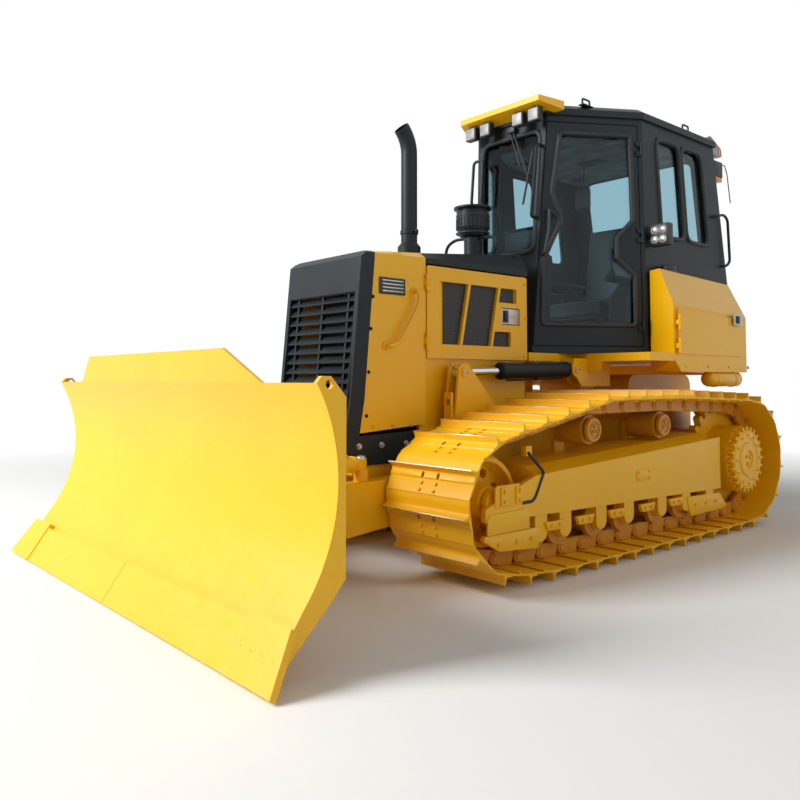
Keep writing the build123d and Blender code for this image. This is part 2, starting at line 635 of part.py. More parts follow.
# ---------------------------------------------------------------- blade
with BuildPart() as blade:
    with BuildSketch(Plane.YZ):
        with BuildLine():
            face = ThreePointArc((SHOULDER_Y, SHOULDER_Z), (DEEPEST_Y, DEEPEST_Z), (LOW_Y, LOW_Z))
            Polyline((LOW_Y, LOW_Z), (LIP_Y, LIP_Z), (LIP_Y + MOLDBOARD, LIP_Z), (LOW_Y + MOLDBOARD, LOW_Z))
            ThreePointArc((LOW_Y + MOLDBOARD, LOW_Z), (DEEPEST_Y + MOLDBOARD, DEEPEST_Z),
                          (SHOULDER_Y + MOLDBOARD, SHOULDER_Z))
            Polyline((SHOULDER_Y + MOLDBOARD, SHOULDER_Z), (SHOULDER_Y - 45 + MOLDBOARD, CREST_Z),
                     (SHOULDER_Y - 45, CREST_Z), (SHOULDER_Y, SHOULDER_Z))
        make_face()
    extrude(amount=BLADE_HALF, both=True)
    for side, s in SIDES:
        with BuildSketch(Plane.XZ.offset(2500)):
            Polygon((s * CREST_HALF, CREST_Z + 1), (s * CREST_FOOT, SHOULDER_Z), (s * (BLADE_HALF + 1), SHOULDER_Z),
                    (s * (BLADE_HALF + 1), CREST_Z + 1), align=None)
        extrude(amount=-400, mode=Mode.SUBTRACT)
        # end plate
        with BuildSketch(Plane.YZ.offset(s * BLADE_HALF)):
            with BuildLine():
                ThreePointArc((SHOULDER_Y, SHOULDER_Z), (DEEPEST_Y, DEEPEST_Z), (LOW_Y, LOW_Z))
                Polyline((LOW_Y, LOW_Z), (LIP_Y, LIP_Z), (LIP_Y + 30, LIP_Z - 30), (BLADE_BACK_Y - 60, 262),
                         (BLADE_BACK_Y, 330), (BLADE_BACK_Y, 993), (BLADE_BACK_Y - 70, SHOULDER_Z + 25),
                         (BLADE_BACK_Y - 110, SHOULDER_Z + 25), (SHOULDER_Y, SHOULDER_Z))
            make_face()
            with Locations((BLADE_BACK_Y - 76, SHOULDER_Z - 5)):
                Circle(18, mode=Mode.SUBTRACT)
        extrude(amount=-s * END_PLATE)
    # box beam across the back
    with BuildSketch(Plane.YZ):
        Polygon((LOW_Y + 10, LOW_Z + 5), (BLADE_BACK_Y - 30, LOW_Z + 20), (BLADE_BACK_Y, LOW_Z + 70),
                (BLADE_BACK_Y, 560), (DEEPEST_Y + 6, 640), (DEEPEST_Y + 6, 560), (DEEPEST_Y + 2, 500), align=None)
    extrude(amount=BLADE_HALF - END_PLATE, both=True)
    # tilt pin
    with BuildSketch(Plane.XZ.offset(6 - BLADE_BACK_Y)):
        with Locations((0, NOSE_Z)):
            Circle(TILT_PIN)
    extrude(amount=BLADE_BACK_Y - YOKE_BACK - 1)
    # bracket of the tilt rod
    with BuildSketch(Plane.XZ.offset(-(TILT_Y - TILT_EYE / 2 - RUN))):
        with Locations((TILT_EYE_X, TILT_Z)):
            Circle(TILT_EARS)
        with Locations((TILT_EYE_X, (TILT_Z + 540) / 2)):
            Rectangle(2 * TILT_EARS, TILT_Z - 540)
    extrude(amount=TILT_Y - TILT_EYE / 2 - DEEPEST_Y - 4)
save(blade, "blade")

# cutting edge: two middle pieces and an end bit at each corner
EDGE_THICK = 25.0
EDGE_HEIGHT = 205.0
BIT_WIDTH = 330.0
BIT_RISE = 22.0
EDGE_LEAN = math.atan(EDGE_SLOPE)
EDGE_PLANE = Plane(origin=(0, EDGE_Y, BLADE_CLEAR), x_dir=(1, 0, 0),
                   z_dir=(0, -math.cos(EDGE_LEAN), math.sin(EDGE_LEAN)))
with BuildPart() as cutting_edge:
    middle = EDGE_HALF - BIT_WIDTH
    for s in (1, -1):
        with BuildSketch(EDGE_PLANE):
            with Locations((s * (middle / 2 + 1), EDGE_HEIGHT / 2)):
                Rectangle(middle - 2, EDGE_HEIGHT)
        extrude(amount=EDGE_THICK)
        with BuildSketch(EDGE_PLANE):
            Polygon((s * (middle + 2), 0), (s * EDGE_HALF, 0), (s * (BLADE_HALF + 24), EDGE_HEIGHT + BIT_RISE),
                    (s * (middle + 2), EDGE_HEIGHT + BIT_RISE), align=None)
        extrude(amount=EDGE_THICK + 5)
save(cutting_edge, "cutting_edge")


# ---------------------------------------------------------------- cylinders
def between(base, eye):
    """Plane at a cylinder's base pin whose normal runs to the rod's eye."""
    return Plane(origin=base, z_dir=Vector(*eye) - Vector(*base))


# name, side, base pin, eye, pin direction, eye width, radius of the ears,
# barrel radius, barrel length, rod radius, rod's stay in the barrel
CYLINDERS = []
for side, s in SIDES:
    CYLINDERS.append((
        "lift", "_" + side, (s * LIFT_X, LIFT_BASE_Y, LIFT_BASE_Z), (s * LIFT_X, LIFT_ROD_Y, LIFT_ROD_Z), (1, 0, 0),
        LIFT_EYE, LIFT_EARS, LIFT_BARREL_RADIUS, LIFT_BARREL_LENGTH, LIFT_ROD_RADIUS, 190.0))
    CYLINDERS.append((
        "angle", "_" + side, (s * ANGLE_BASE[0], ANGLE_BASE[1], ANGLE_Z), (s * ANGLE_EYE[0], ANGLE_EYE[1], ANGLE_Z),
        (0, 0, 1), ANGLE_EYE_WIDTH, ANGLE_EARS, ANGLE_BARREL_RADIUS, ANGLE_BARREL_LENGTH, ANGLE_ROD_RADIUS, 242.0))
CYLINDERS.append((
    "tilt", "", (TILT_BASE_X, TILT_Y, TILT_Z), (TILT_EYE_X, TILT_Y, TILT_Z), (0, 1, 0),
    TILT_EYE, TILT_EARS, TILT_BARREL_RADIUS, TILT_BARREL_LENGTH, TILT_ROD_RADIUS, 110.0))
for name, tail, base, eye, pin, width, ears, barrel_radius, barrel_length, rod_radius, stay in CYLINDERS:
    axis = between(base, eye)
    reach = (Vector(*eye) - Vector(*base)).length
    with BuildPart() as barrel:
        with BuildSketch(Plane(origin=base, x_dir=axis.z_dir, z_dir=pin)):
            Circle(barrel_radius - 10)
            with Locations(((ears + 12) / 2, 0)):
                Rectangle(ears + 12, 2 * barrel_radius - 20)
        extrude(amount=width / 2, both=True)
        with BuildSketch(axis.offset(ears + 8)):
            Circle(barrel_radius)
        extrude(amount=barrel_length - ears - 8)
        with BuildSketch(axis.offset(barrel_length)):
            Circle(rod_radius + RUN)
        extrude(amount=ears + BORE_FLOOR - barrel_length, mode=Mode.SUBTRACT)
    save(barrel, name + "_barrel" + tail)
    with BuildPart() as rod:
        with BuildSketch(Plane(origin=eye, z_dir=pin)):
            Circle(ears - 6)
        extrude(amount=width / 2, both=True)
        with BuildSketch(axis.offset(barrel_length - stay)):
            Circle(rod_radius)
        extrude(amount=reach - rod_radius - barrel_length + stay)
    save(rod, name + "_rod" + tail)


# ---------------------------------------------------------------- hinges
def hinges(plane, along, places, of_door, sink):
    """Knuckles and leaves of a row of hinges on a plane, whose X runs from the door to its post:
    two knuckles on the door, one between them on the post."""
    leaf, root = DOOR_LEAF if of_door else POST_LEAF
    with BuildPart() as row:
        for z in [z + shift for z in places for shift in ((-KNUCKLE, KNUCKLE) if of_door else (0.0,))]:
            with BuildSketch(Plane.XY.offset(z - KNUCKLE / 2 + RUN / 2)):
                with Locations(plane.from_local_coords((along, 0, HINGE_OUT))):
                    Circle(HINGE_RADIUS)
            extrude(amount=KNUCKLE - RUN)
            with BuildSketch(plane.offset(HINGE_LIFT)):
                with Locations((along + leaf / 2, plane.y_dir.Z * z)):
                    Rectangle(abs(leaf), KNUCKLE - RUN)
            extrude(amount=HINGE_OUT - HINGE_LIFT)
            with BuildSketch(plane.offset(HINGE_LIFT + 1)):
                with Locations((along + leaf - root / 2, plane.y_dir.Z * z)):
                    Rectangle(abs(root), KNUCKLE - RUN)
            extrude(amount=-HINGE_LIFT - sink)
    return row.part


def hood_hinge_plane(s):
    """Outer face of the hood's side, whose X runs forward."""
    return Plane(origin=(s * HOOD_HALF, 0, 0), x_dir=(0, -1, 0), z_dir=(s, 0, 0))


def tank_hinge_plane(s):
    """Outer face of a tank's door, whose X runs forward."""
    return Plane(origin=(s * (TANK_OUT + RUN + TANK_DOOR), 0, 0), x_dir=(0, -1, 0), z_dir=(s, 0, 0))


# ---------------------------------------------------------------- hood
def nose_line(z):
    """Front face of the nose, which leans back above its knee."""
    if z < NOSE_KNEE_Z:
        share = (z - NOSE_FOOT_Z) / (NOSE_KNEE_Z - NOSE_FOOT_Z)
        return NOSE_FOOT_Y + share * (NOSE_KNEE_Y - NOSE_FOOT_Y)
    share = (z - NOSE_KNEE_Z) / (NOSE_TOP_Z - NOSE_KNEE_Z)
    return NOSE_KNEE_Y + share * (NOSE_TOP_Y - NOSE_KNEE_Y)


BAND = 95.0          # width of the black band beside the grille
with BuildPart() as hood_shell:
    with BuildSketch(Plane.YZ):
        Polygon((NOSE_TOP_Y, NOSE_TOP_Z), (NOSE_TOP_Y + 50, NOSE_TOP_Z + 38), (HINGE_Y, HOOD_TOP_FRONT + 12),
                (HOOD_REAR, HOOD_TOP_REAR), (HOOD_REAR, HOOD_SEAT), (HINGE_Y - 40, HOOD_SEAT),
                (NOSE_TOP_Y + BAND, NOSE_TOP_Z), align=None)
    extrude(amount=HOOD_HALF, both=True)
    for s in (1, -1):
        with BuildSketch(Plane.XZ.offset(-NOSE_TOP_Y + 10)):
            Polygon((s * (HOOD_HALF + 1), DOOR_TOP + 30), (s * (HOOD_HALF - 70), NOSE_TOP_Z + 45),
                    (s * (HOOD_HALF + 1), NOSE_TOP_Z + 200), align=None)
        with BuildSketch(Plane.XZ.offset(-HOOD_REAR - 10)):
            Polygon((s * (HOOD_HALF + 1), DOOR_TOP + 60), (s * (HOOD_HALF - 70), HOOD_TOP_REAR + 5),
                    (s * (HOOD_HALF + 1), HOOD_TOP_REAR + 200), align=None)
        loft(ruled=True, mode=Mode.SUBTRACT)
    # seats of the exhaust and the pre-cleaner
    for y, radius, top in ((EXHAUST_Y, 96, EXHAUST_FOOT), (CLEANER_Y, 76, CLEANER_FOOT)):
        with BuildSketch(Plane.XY.offset(top)):
            with Locations((0, y)):
                Circle(radius)
        extrude(amount=-60)
    # hollow underneath
    with BuildSketch(Plane.YZ):
        Polygon((NOSE_TOP_Y + PANEL, DOOR_TOP), (NOSE_TOP_Y + PANEL + 30, NOSE_TOP_Z + 10),
                (HINGE_Y, HOOD_TOP_FRONT - 15), (HOOD_REAR - PANEL, HOOD_TOP_REAR - 28),
                (HOOD_REAR - PANEL, DOOR_TOP), align=None)
    extrude(amount=HOOD_HALF - 75, both=True, mode=Mode.SUBTRACT)


def hood_length(front, rear):
    """Piece of the hood's shell between two places along the machine."""
    with BuildPart() as length:
        add(hood_shell.part)
        with BuildSketch(Plane.XY.offset(DOOR_TOP - 20)):
            with Locations((0, (front + rear) / 2)):
                Rectangle(2 * HOOD_HALF + 10, rear - front)
        extrude(amount=HOOD_TOP_REAR - DOOR_TOP + 60, mode=Mode.INTERSECT)
    return length.part


with BuildPart() as grille_surround:
    with BuildSketch(Plane.YZ):
        Polygon((NOSE_FOOT_Y, NOSE_FOOT_Z), (NOSE_KNEE_Y, NOSE_KNEE_Z), (NOSE_TOP_Y, NOSE_TOP_Z),
                (NOSE_TOP_Y + BAND, NOSE_TOP_Z), (NOSE_KNEE_Y + BAND, NOSE_KNEE_Z),
                (NOSE_FOOT_Y + BAND, NOSE_FOOT_Z), align=None)
    extrude(amount=HOOD_HALF, both=True)
    with BuildSketch(Plane.XZ.offset(-NOSE_FOOT_Y + 100)):
        with Locations((0, (GRILLE_TOP + GRILLE_BOTTOM) / 2)):
            RectangleRounded(2 * GRILLE_HALF, GRILLE_TOP - GRILLE_BOTTOM, 6)
    extrude(amount=-500, mode=Mode.SUBTRACT)
    with BuildSketch(Plane.YZ):
        Polygon((NOSE_FOOT_Y + PANEL, NOSE_FOOT_Z - 1), (NOSE_KNEE_Y + PANEL, NOSE_KNEE_Z),
                (NOSE_TOP_Y + PANEL, NOSE_TOP_Z + 1), (NOSE_TOP_Y + BAND + 100, NOSE_TOP_Z + 1),
                (NOSE_FOOT_Y + BAND + 100, NOSE_FOOT_Z - 1), align=None)
    extrude(amount=HOOD_HALF - PANEL, both=True, mode=Mode.SUBTRACT)
    add(hood_length(NOSE_TOP_Y - 1, NOSE_TOP_Y + BAND))
save(grille_surround, "grille_surround")

with BuildPart() as grille:
    pitch = (GRILLE_TOP - GRILLE_BOTTOM) / SLATS
    for k in range(SLATS):
        z = GRILLE_BOTTOM + (k + 0.5) * pitch
        front = nose_line(z) + 6
        with BuildSketch(Plane.YZ):
            Polygon((front, z - 22), (front + 34, z + 12), (front + 34, z + 19), (front, z - 13), align=None)
        extrude(amount=GRILLE_HALF, both=True)
    low, high = GRILLE_BOTTOM + 8, GRILLE_TOP - 8
    for x in (-GRILLE_POST, 0, GRILLE_POST):
        with BuildSketch(Plane.YZ.offset(x)):
            Polygon(
                (nose_line(low) + 14, low), (NOSE_KNEE_Y + 14, NOSE_KNEE_Z), (nose_line(high) + 14, high),
                (nose_line(high) + 38, high), (NOSE_KNEE_Y + 38, NOSE_KNEE_Z), (nose_line(low) + 38, low),
                align=None)
        extrude(amount=8, both=True)
save(grille, "grille")

with BuildPart() as nose_panels:
    for side, s in SIDES:
        with BuildSketch(Plane.YZ.offset(s * HOOD_HALF)):
            Polygon(
                (NOSE_TOP_Y + BAND, NOSE_TOP_Z), (NOSE_KNEE_Y + BAND, NOSE_KNEE_Z),
                (nose_line(NOSE_FOOT_Z + 16) + BAND, NOSE_FOOT_Z + 16), (HINGE_Y - 4, PANEL_BOTTOM),
                (HINGE_Y - 4, HOOD_SEAT), (HINGE_Y - 40, HOOD_SEAT), align=None)
        extrude(amount=-s * PANEL)
        add(hinges(hood_hinge_plane(s), -HINGE_Y, ENGINE_HINGES, False, 11))
    add(hood_length(NOSE_TOP_Y + BAND, HINGE_Y - 4))
save(nose_panels, "nose_panels")

with BuildPart() as hood:
    add(hood_length(HINGE_Y - 4, HOOD_REAR + 1))
save(hood, "hood")

# window openings of an engine door, from its front to its rear
DOOR_WINDOWS = (
    ((-589, 1271), (-589, 1650), (-342, 1650), (-421, 1271)),
    ((-399, 1271), (-320, 1650), (-67, 1650), (-146, 1271)),
    ((-124, 1271), (-104, 1367), (50, 1367), (50, 1271)),
    ((-64, 1556), (-44, 1650), (108, 1650), (108, 1556)),
    ((-35, 1413), (-35, 1524), (141, 1524), (141, 1413)),
)
for side, s in SIDES:
    with BuildPart() as engine_door:
        with BuildSketch(Plane.YZ.offset(s * HOOD_HALF)):
            with Locations(((HINGE_Y + 8 + DOOR_REAR) / 2, (DOOR_BOTTOM + DOOR_TOP) / 2)):
                RectangleRounded(DOOR_REAR - HINGE_Y - 8, DOOR_TOP - DOOR_BOTTOM, 14)
            for window in DOOR_WINDOWS:
                Polygon(*window, align=None, mode=Mode.SUBTRACT)
        extrude(amount=-s * PANEL)
        with BuildSketch(Plane.YZ.offset(s * (HOOD_HALF - PANEL))):
            with Locations(((HINGE_Y + DOOR_REAR) / 2, (DOOR_BOTTOM + DOOR_TOP) / 2)):
                Rectangle(DOOR_REAR - HINGE_Y - 100, DOOR_TOP - DOOR_BOTTOM - 100)
        extrude(amount=s * 4)
        add(hinges(hood_hinge_plane(s), -HINGE_Y, ENGINE_HINGES, True, 11))
    save(engine_door, "engine_door_" + side)

# rear bulkhead, posts and side plates that the hood and its doors close on
FRAME_FACE = HOOD_HALF - PANEL - RUN
with BuildPart() as hood_frame:
    with BuildSketch(Plane.XZ.offset(-(HOOD_REAR - PANEL))):
        with Locations((0, (MAIN_TOP + HOOD_SEAT) / 2)):
            Rectangle(2 * FRAME_FACE, HOOD_SEAT - MAIN_TOP)
    extrude(amount=-PANEL)
    for s in (1, -1):
        with BuildSketch(Plane.YZ.offset(s * FRAME_FACE)):
            with Locations(((HINGE_Y - 30 + HOOD_REAR) / 2, (MAIN_TOP + DOOR_BOTTOM + 10) / 2)):
                Rectangle(HOOD_REAR - HINGE_Y + 30, DOOR_BOTTOM + 10 - MAIN_TOP)
            with Locations((HINGE_Y, (MAIN_TOP + HOOD_SEAT) / 2)):
                Rectangle(60, HOOD_SEAT - MAIN_TOP)
        extrude(amount=-s * 20)
save(hood_frame, "hood_frame")

with BuildPart() as engine:
    with BuildSketch(Plane.XY.offset(MAIN_BOTTOM + 60)):
        with Locations((0, -330)):
            Rectangle(380, 900)
    extrude(amount=ENGINE_TOP - MAIN_BOTTOM - 60)
    # radiator ahead of it
    with BuildSketch(Plane.XZ.offset(1000)):
        with Locations((0, 1180)):
            Rectangle(560, 700)
    extrude(amount=-90)
    with BuildSketch(Plane.XY.offset(MAIN_BOTTOM + 180)):
        with Locations((0, -850)):
            Rectangle(300, 300)
    extrude(amount=600)
save(engine, "engine")

with BuildPart() as exhaust:
    with BuildLine():
        stem = Line((0, EXHAUST_Y, EXHAUST_FOOT), (0, EXHAUST_Y, EXHAUST_TOP - 130))
        TangentArc(stem @ 1, (0, EXHAUST_Y - 66, EXHAUST_TOP + 30), tangent=stem % 1)
    with BuildSketch(Plane(origin=stem @ 0, z_dir=(0, 0, 1))):
        Circle(EXHAUST_RADIUS)
        Circle(EXHAUST_RADIUS - 5, mode=Mode.SUBTRACT)
    sweep()
    with BuildSketch(Plane.XZ.offset(-EXHAUST_Y)):
        Polygon((EXHAUST_RADIUS - 5, EXHAUST_FOOT), (EXHAUST_COLLAR, EXHAUST_FOOT),
                (EXHAUST_COLLAR, EXHAUST_FOOT + 66), (EXHAUST_RADIUS, EXHAUST_FOOT + 94),
                (EXHAUST_RADIUS - 5, EXHAUST_FOOT + 94), align=None)
    revolve(axis=Axis((0, EXHAUST_Y, 0), (0, 0, 1)))
save(exhaust, "exhaust")

with BuildPart() as pre_cleaner:
    with BuildSketch(Plane.XZ.offset(-CLEANER_Y)):
        Polygon((0, CLEANER_FOOT), (62, CLEANER_FOOT), (62, CLEANER_Z - 12), (90, CLEANER_Z),
                (CLEANER_RADIUS, CLEANER_Z + 58), (CLEANER_RADIUS, CLEANER_Z + 165), (100, CLEANER_Z + 165),
                (100, CLEANER_Z + 187), (CLEANER_RADIUS + 18, CLEANER_Z + 187), (CLEANER_RADIUS + 18, CLEANER_Z + 200),
                (CLEANER_RADIUS - 20, CLEANER_Z + 206), (0, CLEANER_Z + 206), align=None)
    revolve(axis=Axis((0, CLEANER_Y, 0), (0, 0, 1)))
save(pre_cleaner, "pre_cleaner")

# black guard under the radiator, open to the rear
with BuildPart() as front_guard:
    with BuildSketch(Plane.YZ):
        Polygon((NOSE_FOOT_Y, NOSE_FOOT_Z), (NOSE_FOOT_Y + 10, GUARD_FOOT + 60), (NOSE_FOOT_Y + 40, GUARD_FOOT),
                (GUARD_REAR - 1, GUARD_FOOT), (GUARD_REAR - 1, MAIN_TOP), (NOSE_FOOT_Y + BAND + 1, NOSE_FOOT_Z),
                align=None)
    extrude(amount=HOOD_HALF, both=True)
    with BuildSketch(Plane.YZ):
        Polygon((NOSE_FOOT_Y + 25, NOSE_FOOT_Z + 20), (NOSE_FOOT_Y + 35, GUARD_FOOT + 60), (MAIN_FRONT + 60, GUARD_FOOT - 1),
                (GUARD_REAR, GUARD_FOOT - 1), (GUARD_REAR, MAIN_TOP + 20), align=None)
    extrude(amount=HOOD_HALF - 25, both=True, mode=Mode.SUBTRACT)
save(front_guard, "front_guard")

# ---------------------------------------------------------------- platform and tanks
with BuildPart() as platform:
    with BuildSketch(Plane.XY.offset(DECK_BOTTOM)):
        Polygon(
            (360, HOOD_REAR + 6), (360, STEP_Y), (STEP_HALF, STEP_Y), (STEP_HALF, TANK_FRONT),
            (TANK_IN, TANK_FRONT + TANK_SLANT),
            (TANK_IN, CAB_REAR_Y[0] + 6), (-TANK_IN, CAB_REAR_Y[0] + 6), (-TANK_IN, TANK_FRONT + TANK_SLANT),
            (-STEP_HALF, TANK_FRONT), (-STEP_HALF, STEP_Y), (-360, STEP_Y), (-360, HOOD_REAR + 6), align=None)
    extrude(amount=CAB_FLOOR - DECK_BOTTOM)
    for side, s in SIDES:
        # front apron of the step
        with BuildSketch(Plane.XZ.offset(-STEP_Y)):
            Polygon((s * 460, DECK_BOTTOM), (s * 460, DECK_BOTTOM - 66), (s * 560, DECK_BOTTOM - 66),
                    (s * 575, DECK_BOTTOM), align=None)
        extrude(amount=-30)
        # bracket of the lift cylinder
        for edge in (-1, 1):
            with BuildSketch(Plane.YZ.offset(s * LIFT_X + edge * (LIFT_EYE / 2 + RUN))):
                with Locations((LIFT_BASE_Y, LIFT_BASE_Z)):
                    Circle(LIFT_EARS)
                Polygon((LIFT_BASE_Y - 30, DECK_BOTTOM + 20), (LIFT_BASE_Y - 51, LIFT_BASE_Z), (LIFT_BASE_Y + 50, 1014),
                        (990, 1014), (990, DECK_BOTTOM + 20), align=None)
            extrude(amount=edge * EAR)
            with BuildSketch(Plane.YZ.offset(s * LIFT_X + edge * (LIFT_EYE / 2 + EAR))):
                with Locations((LIFT_BASE_Y, LIFT_BASE_Z)):
                    Circle(30)
            extrude(amount=edge * PIN_CAP)
    # pedestals down to the main frame
    with BuildSketch(Plane.XY.offset(MAIN_TOP)):
        with GridLocations(2 * (MAIN_HALF - 60), 300, 2, 1):
            with Locations((0, 900)):
                Rectangle(100, 160)
    extrude(amount=DECK_BOTTOM - MAIN_TOP)
save(platform, "platform")

# ---------------------------------------------------------------- side tanks
def tank_outline(end):
    """Half section of a tank, inner bottom corner first: distance from the machine's middle, height."""
    return [(TANK_IN, TANK_BOTTOM), (TANK_OUT, TANK_BOTTOM), (TANK_OUT, TANK_FOLD[end]),
            (TANK_TOP_OUT, TANK_TOP[end]), (TANK_IN, TANK_TOP[end])]


for side, s in SIDES:
    with BuildPart() as tank:
        for y, end in ((TANK_FRONT, 0), (TANK_REAR, 1)):
            with BuildSketch(Plane.XZ.offset(-y)):
                Polygon(*[(s * x, z) for x, z in tank_outline(end)], align=None)
        loft(ruled=True)
        with BuildSketch(Plane.XY.offset(TANK_BOTTOM - 1)):
            Polygon((s * TANK_OUT, TANK_FRONT), (s * TANK_OUT, TANK_FRONT - 10), (s * (TANK_IN - 1), TANK_FRONT - 10),
                    (s * (TANK_IN - 1), TANK_FRONT + TANK_SLANT), (s * TANK_IN, TANK_FRONT + TANK_SLANT), align=None)
        extrude(amount=TANK_TOP[0] - TANK_BOTTOM + 2, mode=Mode.SUBTRACT)
        # sloped lower front corner
        with BuildSketch(Plane.YZ):
            Polygon((TANK_FRONT - 1, TANK_BOTTOM - 1), (TANK_FRONT + 90, TANK_BOTTOM - 1),
                    (TANK_FRONT - 1, TANK_BOTTOM + 90), align=None)
        extrude(amount=s * 1000, mode=Mode.SUBTRACT)
        # locker behind the door
        with BuildSketch(Plane.YZ.offset(s * (TANK_OUT + 1))):
            Polygon((TANK_DOOR_Y[0], TANK_DOOR_Z[0]), (TANK_DOOR_Y[1], TANK_DOOR_Z[0]),
                    (TANK_DOOR_Y[1], TANK_DOOR_Z[2]), (TANK_DOOR_Y[0], TANK_DOOR_Z[1]), align=None)
            offset(amount=-25, kind=Kind.INTERSECTION)
        extrude(amount=-s * (LOCKER_DEPTH + 1), mode=Mode.SUBTRACT)
        add(hinges(tank_hinge_plane(s), TANK_HINGE_OFFSET - TANK_DOOR_Y[0], TANK_HINGES, False, TANK_DOOR + 10))
    save(tank, "tank_" + side)
    with BuildPart() as tank_door:
        with BuildSketch(Plane.YZ.offset(s * (TANK_OUT + RUN))):
            Polygon((TANK_DOOR_Y[0], TANK_DOOR_Z[0]), (TANK_DOOR_Y[1], TANK_DOOR_Z[0]),
                    (TANK_DOOR_Y[1], TANK_DOOR_Z[2]), (TANK_DOOR_Y[0], TANK_DOOR_Z[1]), align=None)
        extrude(amount=s * TANK_DOOR)
        add(hinges(tank_hinge_plane(s), TANK_HINGE_OFFSET - TANK_DOOR_Y[0], TANK_HINGES, True, 10))
    save(tank_door, "tank_door_" + side)

# tank behind the cab
with BuildPart() as rear_tank:
    with BuildSketch(Plane.YZ):
        Polygon((CAB_REAR_Y[0] + 6, CASE_TOP), (REAR_TANK_BACK, CASE_TOP + 40), (REAR_TANK_BACK, 1480),
                (CAB_REAR_Y[0] - 34, 1480), (CAB_REAR_Y[0] + 6, CAB_FLOOR + 5), align=None)
    extrude(amount=REAR_TANK_HALF, both=True)
save(rear_tank, "rear_tank")


# ---------------------------------------------------------------- cab
def cab_outline(level):
    """Plan of the cab low (0) or high (1), from the front left corner round to the right."""
    half = [(CAB_FRONT_HALF[level], CAB_FRONT_Y[level]), CAB_POST[level], (CAB_REAR_HALF[level], CAB_REAR_Y[level])]
    return half + [(-x, y) for x, y in reversed(half)]


def cab_solid(depth):
    """Solid inside the cab's outer faces, set in by a depth."""
    with BuildPart() as solid:
        for level, z in enumerate((CAB_FLOOR, CAB_EAVES)):
            with BuildSketch(Plane.XY.offset(z)):
                Polygon(*cab_outline(level), align=None)
                if depth:
                    offset(amount=-depth, kind=Kind.INTERSECTION)
        loft(ruled=True)
    return solid.part


DOOR_RUN = Vector(CAB_POST[1][0] - CAB_FRONT_HALF[1], CAB_POST[1][1] - CAB_FRONT_Y[1], 0).normalized()
DOOR_GLASS = ((95, DOOR_HEAD - 80), (615, DOOR_HEAD - 80), (628, 2185), (508, 2060), (505, 1915), (640, 1790), (640, 1440), (-50, 1440),
              (-40, 1880), (85, 2150), (85, 2210), (30, 2360))
SCREEN = ((-CAB_FRONT_HALF[0] + 14, SCREEN_FOOT), (CAB_FRONT_HALF[0] - 14, SCREEN_FOOT),
          (CAB_FRONT_HALF[1] - 52, SCREEN_HEAD), (-CAB_FRONT_HALF[1] + 52, SCREEN_HEAD))
WINDOW_HEAD = CAB_EAVES - 92
SIDE_WINDOWS = (((1315, 2105), (1256, WINDOW_HEAD), (1574, WINDOW_HEAD), (1640, 2105)),
                ((1672, 2105), (1606, WINDOW_HEAD), (1909, WINDOW_HEAD), (2006, 2105)))
REAR_WINDOW = ((-520, 2050), (520, 2050), (520, CAB_EAVES - 65), (-520, CAB_EAVES - 65))


def door_plane(s):
    """Plane of a door: its X runs back along the door from the cab's front corner."""
    return Plane(origin=(s * CAB_FRONT_HALF[1], CAB_FRONT_Y[1], 0), x_dir=(s * DOOR_RUN.X, DOOR_RUN.Y, 0),
                 z_dir=(s * DOOR_RUN.Y, -DOOR_RUN.X, 0))


def door_prism(s, shrink):
    """Block through the cab's wall, as wide as the door opening less a gap all round."""
    with BuildPart() as prism:
        with BuildSketch(door_plane(s)):
            Polygon((DOOR_EDGE[0][0], s * DOOR_SILL), (DOOR_EDGE[0][1], s * DOOR_SILL),
                    (DOOR_EDGE[1][1], s * DOOR_HEAD), (DOOR_EDGE[1][0], s * DOOR_HEAD), align=None)
            if shrink:
                offset(amount=-shrink, kind=Kind.INTERSECTION)
        extrude(amount=140, both=True)
    return prism.part


def window_prisms():
    """Blocks through the cab's walls at the fixed windows."""
    with BuildPart() as prisms:
        with BuildSketch(Plane.XZ.offset(-250)):
            Polygon(*SCREEN, align=None)
        extrude(amount=-350)
        with BuildSketch(Plane.XZ.offset(-2000)):
            Polygon(*REAR_WINDOW, align=None)
        extrude(amount=-450)
        for s in (1, -1):
            with BuildSketch(Plane.YZ.offset(s * 620)):
                for window in SIDE_WINDOWS:
                    Polygon(*window, align=None)
            extrude(amount=s * 150)
    return prisms.part


CAB_BODY = cab_solid(0)
CAB_ROOM = cab_solid(WALL)
PANES = cab_solid(GLASS_DEPTH) - cab_solid(GLASS_DEPTH + GLASS)
with BuildPart() as cab_frame:
    add(CAB_BODY)
    add(CAB_ROOM, mode=Mode.SUBTRACT)
    for s in (1, -1):
        add(door_prism(s, 0), mode=Mode.SUBTRACT)
        add(hinges(door_plane(s), HINGE_ALONG, CAB_HINGES, False, 11))
    add(window_prisms(), mode=Mode.SUBTRACT)
save(cab_frame, "cab_frame")

with BuildPart() as cab_glass:
    add(PANES)
    add(window_prisms(), mode=Mode.INTERSECT)
save(cab_glass, "cab_glass")

for side, s in SIDES:
    with BuildPart() as pane:
        with BuildSketch(door_plane(s)) as outline:
            Polygon(*[(along, s * z) for along, z in DOOR_GLASS], align=None)
            fillet(outline.vertices(), 25)
        extrude(amount=140, both=True)
    with BuildPart() as cab_door:
        add(CAB_BODY)
        add(CAB_ROOM, mode=Mode.SUBTRACT)
        add(door_prism(s, GAP), mode=Mode.INTERSECT)
        add(pane.part, mode=Mode.SUBTRACT)
        add(hinges(door_plane(s), HINGE_ALONG, CAB_HINGES, True, 11))
    save(cab_door, "cab_door_" + side)
    with BuildPart() as door_glass:
        add(PANES)
        add(pane.part, mode=Mode.INTERSECT)
    save(door_glass, "door_glass_" + side)

